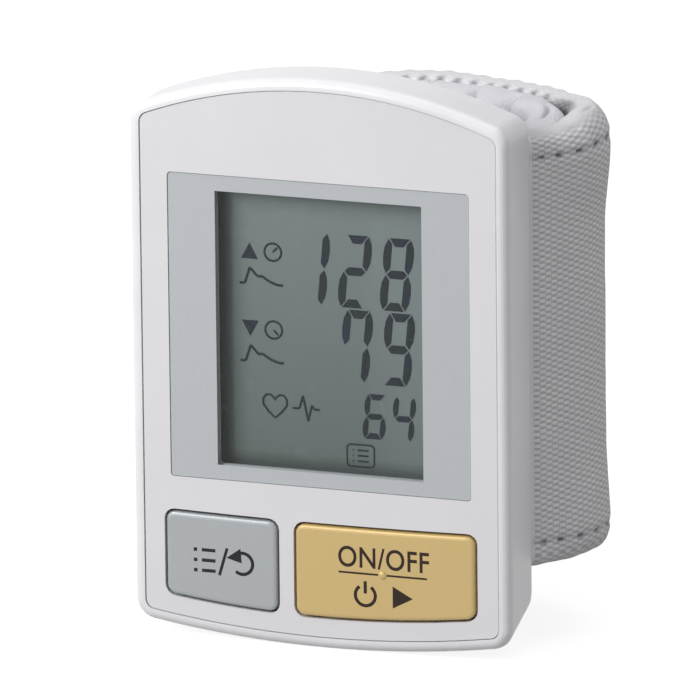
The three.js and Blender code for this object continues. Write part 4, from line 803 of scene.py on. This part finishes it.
print("cuff line", round(cuff_length, 2), "mm")

# %% [markdown]
# ## A closed tube of cloth
# Band, tongue and pad are all closed tubes: an outer face, a rounded top edge, an inner face and a rounded
# bottom edge. A grid is the flat sheet. Its columns run along the band and its rows run once round the
# section; the first and last row are then merged into one. The UV map counts metres on the outer face.


# %% Helpers for cloth
def bump(value, centre_at, width):
    """1 at a centre, and smoothly 0 away from it."""
    return np.exp(-(((value - centre_at) / width) ** 2))


def smooth(value, low, high):
    """0 below low, 1 above high, smooth between."""
    t = np.clip((value - low) / (high - low), 0, 1)
    return t * t * (3 - 2 * t)


def rough(x, y, scale, seed):
    """Slow noise from -1 to 1 at places of a flat sheet, the same each run."""
    spots = zip(x.ravel() / scale, y.ravel() / scale)
    return np.array([noise.noise(Vector((a, b, seed))) for a, b in spots]).reshape(x.shape)


def section_rows(edge, outer_rows, cap_rows, inner_rows, dense=()):
    """Rows once round a section: which face they are on, as a turn from 0 outside to pi inside, and z."""
    low, high = cuff_low, cuff_high
    straight = np.linspace(low + edge, high - edge, outer_rows)
    extra = [np.linspace(z - 1.2, z + 1.2, 9) for z in dense]
    straight = np.unique(np.round(np.concatenate([straight, *extra]), 4))
    back_rows = np.linspace(high - edge, low + edge, inner_rows)
    cap = np.linspace(0, np.pi, cap_rows + 2)[1:-1]
    turn = np.concatenate([np.zeros(len(straight)), cap, np.full(len(back_rows), np.pi), -cap[::-1], [0]])
    z = np.concatenate([straight, high - edge + edge * np.sin(cap), back_rows, low + edge
                        - edge * np.sin(cap[::-1]), [low + edge]])
    step = np.concatenate([[0], np.hypot(np.diff(z), np.diff(np.cos(turn)) * half_band)])
    return turn, z, np.cumsum(step) + low


def cloth_tube(name, stops, rows, shape, material, line=on_line):
    """A closed tube: shape(s, turn, z) gives the distance out, the height, the painted shade and the painted
    edge light.
    """
    turn, z, round_way = rows
    bm = bmesh.new()
    bmesh.ops.create_grid(bm, x_segments=len(stops) - 1, y_segments=len(z) - 1, size=0.5)
    bm.verts.ensure_lookup_table()
    flat = np.array([v.co[:2] for v in bm.verts]) + 0.5
    column = np.rint(flat[:, 0] * (len(stops) - 1)).astype(int)
    row = np.rint(flat[:, 1] * (len(z) - 1)).astype(int)
    s, turned, high = stops[column], turn[row], z[row]
    out, up_to, painted_shade, lit_edge = shape(s, turned, high)
    point, way = line(s)
    x = point[:, 0] + way[:, 1] * out
    depth = point[:, 1] - way[:, 0] * out
    middle_row = np.flatnonzero(row == np.argmin(np.abs(z - (z.min() + z.max()) / 2) + turn))
    middle_row = middle_row[np.argsort(column[middle_row])]
    steps = np.hypot(np.diff(x[middle_row]), np.diff(depth[middle_row]))
    along = np.concatenate([[0], np.cumsum(steps)]) + max(stops[0], 0)
    sheet = bm.loops.layers.uv.new("cloth")
    for face in bm.faces:
        for corner in face.loops:
            i = corner.vert.index
            corner[sheet].uv = (along[column[i]] * MM, round_way[row[i]] * MM)
    # Layers for the painted shade and the painted light on turned edges.
    tone, edge_light_layer = (bm.verts.layers.float.new(kind) for kind in ("painted_shade", "lit_edge"))
    for vert, px, py, pz, dark, edge_light in zip(bm.verts, x, depth, up_to, painted_shade, lit_edge):
        vert.co = place(px, py, pz)
        vert[tone], vert[edge_light_layer] = dark, edge_light
    bmesh.ops.remove_doubles(bm, verts=bm.verts, dist=0.00001)
    bmesh.ops.dissolve_degenerate(bm, edges=bm.edges, dist=0.000005)
    bmesh.ops.holes_fill(bm, edges=bm.edges, sides=0)
    for face in bm.faces:
        face.smooth = True
    piece = keep(bm, name, material, None)
    print(name, len(piece.data.polygons), "faces")
    return piece


# %% [markdown]
# ## The woven band
# The band is cloth sewn over thin foam. Two rows of long stitches run 4 mm inside its edges and pull it in.
# The cloth is fullest just inside them, flat in the middle, and rolls in at the very edge. Each stitch
# leaves a small pit, with painted shade in it.

# %% Shape of the band
stitch_pitch, stitch_shift, stitch_length, seam_in = 3.25, 0.56, 1.15, 4.0
seams = (cuff_low + seam_in, cuff_high - seam_in)
narrowing = 2.3  # what the band loses at each edge towards its free end
corner_at, gapes_from = 18.2, 22.0  # where it turns its corner, and where its edge starts to gape
band_end, tab_hinge_at, tab_end = (share * cuff_length for share in (0.80, 0.865, 0.945))


def seam_pits(s, z):
    """How deep the seams and their stitches draw the cloth in, from 0 to 1."""
    phase = np.abs((s / stitch_pitch + stitch_shift) % 1 - 0.5) * stitch_pitch
    in_stitch = 1 - smooth(phase, stitch_length * 0.25, stitch_length * 0.6)
    groove, pits = (np.maximum(*(bump(z, seam, width) for seam in seams)) for width in (0.6, 0.3))
    return groove, pits * in_stitch


def between_stitches(s):
    """1 half way between two stitches and 0 at a stitch."""
    return 0.5 + 0.5 * np.cos(2 * np.pi * (s / stitch_pitch + stitch_shift))


def fall_back(share):
    """How much the upper edge drops on its way behind the casing."""
    return 1.2 * smooth(share, 0.42, 0.6)


def band_foot(s):
    """How much the lower edge stands above its plain height, along the band."""
    return narrowing * smooth(s / cuff_length, 0.66, 0.86)


def band_top(s):
    """The same for the upper edge."""
    share = s / cuff_length
    rise = -0.4 + 1.6 * smooth(share, 0.02, 0.13) - 0.35 * smooth(share, 0.25, 0.4)
    return rise - fall_back(share) - band_foot(s)


def band_shape(s, turn, z):
    """The band's section: how far out and up each point is, its painted shade and its painted edge light."""
    grown = smooth(s, -1.0, 7.0)  # the band leaves the casing plain
    from_top, from_foot = cuff_high - z, z - cuff_low
    from_edge = np.minimum(from_top, from_foot)
    outside = np.cos(turn)
    groove, pits = seam_pits(s, z)
    # Both faces are fullest inside the seams, and roll in at the very edge.
    top_flare, foot_flare = (smooth(d, 0.0, 4.4) * (1 - smooth(d, 5.0, 17.0))
                             for d in (from_top, from_foot))
    flare = grown * (0.85 * top_flare + 0.6 * foot_flare - 0.25 * (1 - smooth(from_edge, 0.0, 3.5)))
    # The inner face is thinned in pockets between stitches, and most at the corner.
    pocket = smooth(s, gapes_from, gapes_from + 3.0) * between_stitches(s) ** 1.5
    corner = bump(s, corner_at, 4.2)
    thinned = grown * ((0.5 + 1.2 * pocket) * (1 - smooth(from_edge, 0.6, 3.6))
                       + 1.8 * corner * (1 - smooth(from_edge, 1.5, 8.0)))
    core = thinned / 2
    # The outer face is drawn in at the seams, puffs between stitches and is slowly uneven.
    between = (s / stitch_pitch + stitch_shift) % 1
    puff = bump(between, 0.0, 0.3) + bump(between, 1.0, 0.3)
    full = half_band - 0.2 * groove - 0.4 * pits
    full = full + 0.12 * puff * bump(from_edge, 3.0, 1.4) + 0.06 * puff * bump(from_edge, 5.2, 1.2)
    full = full + 0.08 * rough(s, z, 11.0, 3.1) + 0.05 * rough(s, z, 3.2, 8.4)
    out = core + outside * (np.where(outside >= 0, full, half_band) - core * np.sign(outside))
    out = out + np.where(outside >= 0, flare, 0.6 * flare)
    # The edges wave a little, and the upper one has two small folds near the root.
    wave = 0.05 * between_stitches(s) + 0.14 * rough(s, s * 0, 4.0, 5.7)
    near_top, near_foot = (1 - smooth(d, 0.0, 7.0) for d in (from_top, from_foot))
    up_to = z + near_top * (band_top(s) + wave) + near_foot * (band_foot(s) + wave)
    folds = bump(s, 6.3, 1.1) * bump(out, 1.9, 0.3) + bump(s, 12.0, 1.7) * bump(out, 0.5, 0.3)
    folds = folds * (1 - smooth(from_top, 0.0, 1.2))
    # Pits, folds and the pockets' depths get painted shade, and the turned edges get painted light.
    painted_shade = np.clip(0.12 * groove + 0.85 * pits, 0, 1) * (outside > 0) + 0.55 * folds
    shaded = smooth(-outside, 0.3, 0.8) * smooth(from_top, 0.1, 0.7)
    painted_shade = np.maximum(painted_shade, shaded * np.clip(0.75 * pocket + 0.85 * corner, 0, 0.9))
    # The last value is the painted light on the turned edges.
    return out, up_to - 0.35 * folds, painted_shade, 1 - smooth(from_edge, 0.4, 2.0)


# %% Make the band, closed by a half round at its root
def rounded_start(s, radius):
    """How full a section is behind a hinge line, as a half round."""
    return np.sqrt(np.clip(1 - np.clip(-s / radius, 0, 1) ** 2, 0, 1))


def root_shape(s, turn, z):
    out, *rest = band_shape(s, turn, z)
    return out * rounded_start(s, half_band), *rest


band_rows = section_rows(edge=2.0, outer_rows=74, cap_rows=15, inner_rows=26, dense=seams)
root_stops = -half_band * np.cos(np.linspace(0, np.pi / 2, 7))[:-1]
band_stops = np.concatenate([root_stops, np.linspace(0, band_end, 380)])
band = cloth_tube("cuff_band", band_stops, band_rows, root_shape, woven_cloth)
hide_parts("cuff_cover")
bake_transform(band)

# %% [markdown]
# ## The band's free end
# The last stretch of the band is sewn on at the left, where a cross seam shows, and ends in the tab that
# closes on the short tongue.


# %% Make the free end
end_round = 3.0  # over how much of its end a piece thins to nothing


def end_shape(s, turn, z):
    out, up_to, painted_shade, lit_edge = band_shape(s, turn, z)
    join = bump(s, band_end, 0.7)
    left = np.clip((tab_end - s) / end_round, 0, 1)
    thin = np.sqrt(np.clip(1 - (1 - left) ** 2, 0, 1))
    up_to = cuff_middle + (up_to - cuff_middle) * (1 - 0.02 * (1 - left) ** 2)
    # The cross seam's groove gets painted shade.
    return out * thin * (1 - 0.12 * join), up_to, np.maximum(painted_shade, 0.6 * join), lit_edge


def stops_to(start, end, plain, last):
    """Even stops from a start, and denser ones over the rounded end."""
    return np.concatenate([np.linspace(start, end - end_round, plain),
                           end - end_round * np.cos(np.linspace(0, np.pi / 2, last))[1:]])


end_stops = stops_to(band_end, tab_end, 34, 9)
free_end = cloth_tube("cuff_free_end", end_stops, band_rows, end_shape, woven_cloth)
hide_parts("cuff_tab")
hinge_point, _ = on_line(np.array([tab_hinge_at]))
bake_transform(free_end)

# %% [markdown]
# ## The wrist pad
# Inside the band lies a soft pad with the air cell in it. Gathers draw it in about every 11 mm, so that it
# puffs up between them, and the gathers get painted shade. Near the band's right corner it leaves the band
# and cuts the corner, and a hollow opens there, with painted shade on the band's inner face. A short bar of
# stitches pins the top of its first puff and leaves an oval dimple, with painted shade in it and in the
# tucks.

# %% Shape of the wrist pad
gathers = np.array([0.034, 0.255, 0.35, 0.45, 0.54, 0.63, 0.72]) * cuff_length
pad_start, pad_end = gathers[0], gathers[-1]
pad_near, pad_far, pad_edge = 2.75, 9.1, 2.6  # distances in from the line, and how far its edges are round
gather_reach, end_reach, crown_reach = 4.6, 3.0, 5.5  # how far in it is round at gathers, ends and edges
least_puff = 0.34  # how full it stays at a gather
dimple_at, dimple_out = 12.6, -5.9  # along the line and out from it
first_ends = (24.0, 27.0)  # where the first puff, which cuts the corner, goes over into the others

# Round the tight corner the pad stands out at a gentler angle than the band, or its inner side would cross
# over itself. So its headings are blurred.
blur_step, blur_width = 0.1, 6.0
blur_half = round(3 * blur_width / blur_step)
even_steps = np.arange(0, cuff_length, blur_step)
blur = np.exp(-((np.arange(-blur_half, blur_half + 1) * blur_step / blur_width) ** 2) / 2)
gentle = np.stack([
    np.convolve(np.pad(np.interp(even_steps, reach, heading[:, k]), blur_half, mode="edge"),
                blur / blur.sum(), "valid") for k in (0, 1)], axis=1)


def on_pad_line(s):
    """Points on the cuff's line, with the blurred headings."""
    way = np.stack([np.interp(s, even_steps, gentle[:, k]) for k in (0, 1)], axis=-1)
    return on_line(s)[0], way / np.linalg.norm(way, axis=-1)[..., None]


def rounded(share):
    """A quarter round: 0 at 0, steep there, and level at 1."""
    return np.sqrt(np.clip(1 - (1 - np.clip(share, 0, 1)) ** 2, 0, 1))


def pad_shape(s, turn, z):
    """The pad's section, in the same terms as the band's."""
    from_edge = np.minimum(z - cuff_low, cuff_high - z)
    from_end = np.minimum(s - pad_start, pad_end - s)
    which = np.clip(np.searchsorted(gathers, s, side="right") - 1, 0, len(gathers) - 2)
    from_gather = np.minimum(s - gathers[which], gathers[which + 1] - s)
    # The inner face: full between gathers, drawn in at each of them, and round at both ends.
    puff = np.where(from_end < gather_reach, 1, rounded(from_gather / gather_reach))
    tip = rounded(from_end / end_reach)
    first = 1 - smooth(s, *first_ends)
    at_edge = 0.5 + 0.42 * first
    crown = at_edge + (1 - at_edge) * rounded(from_edge / crown_reach)
    inner = pad_near + (pad_far - pad_near) * tip * (least_puff + (1 - least_puff) * puff) * crown
    # The outer face: a gap behind it at the corner, and a swell over the band's edge at its start.
    gap = 0.3 * bump(s, 14.0, 5.0) + 0.9 * bump(s, 17.8, 3.2) * smooth(z, cuff_high - 12.0, cuff_high - 5.0)
    swell = 1.3 * (1 - smooth(s, 6.5, 11.0)) * smooth(z, cuff_high - 3.6, cuff_high - 1.2)
    outer = pad_near + (gap - swell) * tip
    # Both faces joined by a full edge, and slowly uneven, most on the inner side.
    side = np.cos(turn)
    half = np.maximum((inner - outer) / 2, 0.05)
    out = -(outer + inner) / 2 + half * np.sign(side) * np.abs(side) ** 0.8
    ridge = 0.16 * rough(s, z, 5.0, 21.5) + 0.08 * rough(s, z, 2.2, 2.5)
    out = out - ridge * np.where(turn == np.pi, 1, 0.4)
    # Heights: a flatter top edge, which gathers and ends pull down and the first puff lifts.
    round_share = np.clip((z - (cuff_high - pad_edge)) / pad_edge, 0, 1)
    z_now = np.where(round_share > 0, cuff_high - pad_edge + pad_edge * round_share**0.6, z)
    top, foot = smooth(z, cuff_high - 14, cuff_high - 2), 1 - smooth(z, cuff_low, cuff_middle)
    draw = (2.4 - 1.9 * smooth(s, 29.0, 33.0)) * (1 - puff) * smooth(-out, 4.0, 7.0) + 2.0 * (1 - tip)
    rise = first * (-1.5 + 2.7 * smooth(s, 3.0, 20.0)) + (1 - first) * (0.95 - 0.6 * smooth(s, 33, 42))
    up_to = z_now + top * (rise - fall_back(s / cuff_length) - draw) + foot * (draw + 0.8)
    # On top: an oval dimple with a raised rim, and tucks beside the band's stitches.
    above = round_share**0.5
    dimple = bump(s, dimple_at, 2.5) * bump(out, dimple_out, 0.34) * above
    rim = bump(np.hypot((s - dimple_at) / 4.6, (out - dimple_out) / 1.35), 1.0, 0.42) * above
    tuck = smooth(s, gapes_from, gapes_from + 3.0) * between_stitches(s) ** 2 * above
    tuck = tuck * smooth(out, -4.4, -3.3)
    up_to = up_to - 0.55 * dimple - 0.9 * tuck + 0.1 * rim + 0.14 * rough(s, out, 3.0, 6.1) * above
    # Painted shade in the gathers, the dimple and the tucks.
    painted_shade = np.clip(0.9 * (1 - puff) ** 2 * (1 - 0.5 * tip) + 1.5 * dimple + 0.8 * tuck, 0, 1)
    return out, up_to, painted_shade, 0 * s


# %% Make the wrist pad
pad_rows = section_rows(edge=pad_edge, outer_rows=40, cap_rows=42, inner_rows=60)
tip_steps = end_reach * (1 - np.cos(np.linspace(0, np.pi / 2, 8)))
between_tips = np.linspace(pad_start + end_reach, pad_end - end_reach, 190)
pad_stops = np.concatenate([pad_start + tip_steps, between_tips, pad_end - tip_steps])
pad_stops = np.unique(np.round(pad_stops, 5))
wrist_pad = cloth_tube("wrist_pad", pad_stops, pad_rows, pad_shape, lining_cloth,
                       on_pad_line)
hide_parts("cuff_lining")
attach(wrist_pad, "cuff_wrap")

# %% [markdown]
# ## The side tongue
# At the left a short, thinner tongue of the same cloth stands on the casing. It is laid out flat the same
# way, on a line of its own.

# %% Make the side tongue
tongue_x, tongue_reach, half_tongue = 27.2, 16.5, 1.9
tongue_line = bezier([(-tongue_x + aside, root[1] + share * tongue_reach)
                      for aside, share in ((0, 0), (0, 1 / 3), (0.9, 2 / 3), (4.3, 1))])
tongue_distance, tongue_heading = measured(tongue_line)
tongue_length = float(tongue_distance[-1])


def on_tongue(s):
    return on_line(s, tongue_line, tongue_distance, tongue_heading)


def tongue_shape(s, turn, z):
    from_edge = np.minimum(z - cuff_low, cuff_high - z)
    groove, pits = seam_pits(s, z)
    left = np.clip((tongue_length - s) / end_round, 0, 1)
    thin = np.sqrt(np.clip(1 - (1 - left) ** 2, 0.04, 1)) * rounded_start(s, half_tongue)
    full = half_tongue - 0.3 * groove - 0.2 * pits + 0.06 * rough(s, z, 6.0, 12.3)
    # Stitch pits get painted shade.
    painted_shade = np.clip(0.12 * groove + 0.85 * pits, 0, 1)
    # The last value is the painted light on the turned edges.
    return np.cos(turn) * full * thin, z, painted_shade, 1 - smooth(from_edge, 0.3, 2.6)


tongue_rows = section_rows(edge=1.7, outer_rows=60, cap_rows=7, inner_rows=40, dense=seams)
tongue_stops = np.concatenate([-half_tongue * np.cos(np.linspace(0, np.pi / 2, 5))[:-1],
                               stops_to(0, tongue_length, 30, 8)])
tongue = cloth_tube("side_tongue", tongue_stops, tongue_rows, tongue_shape, woven_cloth,
                    on_tongue)
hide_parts("side_flap")
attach(tongue, "casing")

# %% [markdown]
# ## Lining on the casing's back
# A thin quilted pad covers the back of the casing, where it rests on the wrist. It starts as a grid. Rows
# of its points are pressed into four channels, its rim is rounded, and its edge is extruded to the casing.

# %% Make the back pad
low, high = (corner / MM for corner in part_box("back_lining"))
wide, thick, tall = high - low
front = low.y - front_plane / MM
channel = tall / 5
corner_round, rim_width, channel_width = 4.0, 1.6, 0.8
quilt = bmesh.new()
bmesh.ops.create_grid(quilt, x_segments=56, y_segments=100, size=0.5)
quilt_uv = quilt.loops.layers.uv.new("cloth")
for face in quilt.faces:
    for corner in face.loops:
        corner[quilt_uv].uv = ((corner.vert.co.x + 0.5) * wide * MM, (corner.vert.co.y + 0.5) * tall * MM)
quilt_painted_shade = quilt.verts.layers.float.new("painted_shade")
for vert in quilt.verts:
    x, z = vert.co.x * wide, vert.co.y * tall
    past_x, past_z = (max(0, abs(v) - size / 2 + corner_round) for v, size in ((x, wide), (z, tall)))
    from_rim = min(wide / 2 - abs(x), tall / 2 - abs(z))
    if past_x > 0 and past_z > 0:
        # The grid's square corners are drawn in to round ones.
        slant = math.hypot(past_x, past_z) / corner_round
        from_rim = corner_round * (1 - min(1, slant))
        x = math.copysign(wide / 2 - corner_round + past_x / max(1, slant), x)
        z = math.copysign(tall / 2 - corner_round + past_z / max(1, slant), z)
    swell = math.sqrt(max(0, 1 - (1 - min(1, from_rim / rim_width)) ** 2))
    from_channel = (z + tall / 2 + channel / 2) % channel - channel / 2
    press = math.exp(-((from_channel / channel_width) ** 2)) if abs(z) < (tall - channel) / 2 else 0
    puffed = thick * (0.12 + 0.88 * swell * (1 - 0.55 * press))
    puffed += 0.08 * noise.noise(Vector((x / 6, (z + tall / 2) / 6, 4)))
    # Painted shade in the quilted channels.
    vert[quilt_painted_shade] = 0.7 * press
    vert.co = place(x + (low.x + high.x) / 2, front + min(puffed, thick), z + (low.z + high.z) / 2)
rim_edges = [e for e in quilt.edges if e.is_boundary]
skirt = bmesh.ops.extrude_edge_only(quilt, edges=rim_edges)["geom"]
for vert in (v for v in skirt if isinstance(v, bmesh.types.BMVert)):
    vert.co.y = low.y * MM
bmesh.ops.holes_fill(quilt, edges=[e for e in quilt.edges if e.is_boundary], sides=0)
for face in quilt.faces:
    face.smooth = True
back_pad = keep(quilt, "back_pad", lining_cloth, "casing")
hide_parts("back_lining")
print("back pad", round(wide, 1), "by", round(tall, 1), "mm")

# %% [markdown]
# ## Hook tape and air cell
# Both are flat strips that follow the cuff's line: the tape on the inner side of the tab, and the air cell
# inside the pad, which only shows if the pad is taken off.


# %% Strips along the line
def strip_shape(outs, heights, ends):
    """A thin strip between two distances out and two heights, which thins to nothing at its ends."""
    (near, far), (low, high), (start, end) = outs, heights, ends

    def shape(s, turn, z):
        half, mid = (near - far) / 2, (near + far) / 2
        up_to = low + (z - cuff_low) / (cuff_high - cuff_low) * (high - low)
        thin = np.sqrt(np.clip(np.minimum(s - start, end - s) / 0.8, 0, 1))
        return mid + half * np.cos(turn) * thin, up_to, 0 * s, 0 * s
    return shape


tab_reach = tab_end - tab_hinge_at
hook_start, hook_end = tab_hinge_at + 0.28 * tab_reach, tab_hinge_at + 0.86 * tab_reach
strip_rows = section_rows(edge=0.5, outer_rows=40, cap_rows=3, inner_rows=40)
hook_tape = cloth_tube("hook_tape", np.linspace(hook_start, hook_end, 24), strip_rows,
                       strip_shape((-2.75, -3.3), (19.3, 72.7), (hook_start, hook_end)), hook_finish)
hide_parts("hook_pad")
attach(hook_tape, "cuff_end")

cell_inset = 0.02 * cuff_length
cell_start, cell_end = pad_start + cell_inset, pad_end - cell_inset
air_cell = cloth_tube("air_cell", np.linspace(cell_start, cell_end, 90), strip_rows,
                      strip_shape((-4.0, -6.0), (17.3, 74.7), (cell_start, cell_end)), air_film)
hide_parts("air_bladder")
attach(air_cell, "cuff_wrap")

# %% [markdown]
# ## Finish
# The script updates the scene once more at the end.

# %% Last update of the scene
bpy.context.view_layer.update()
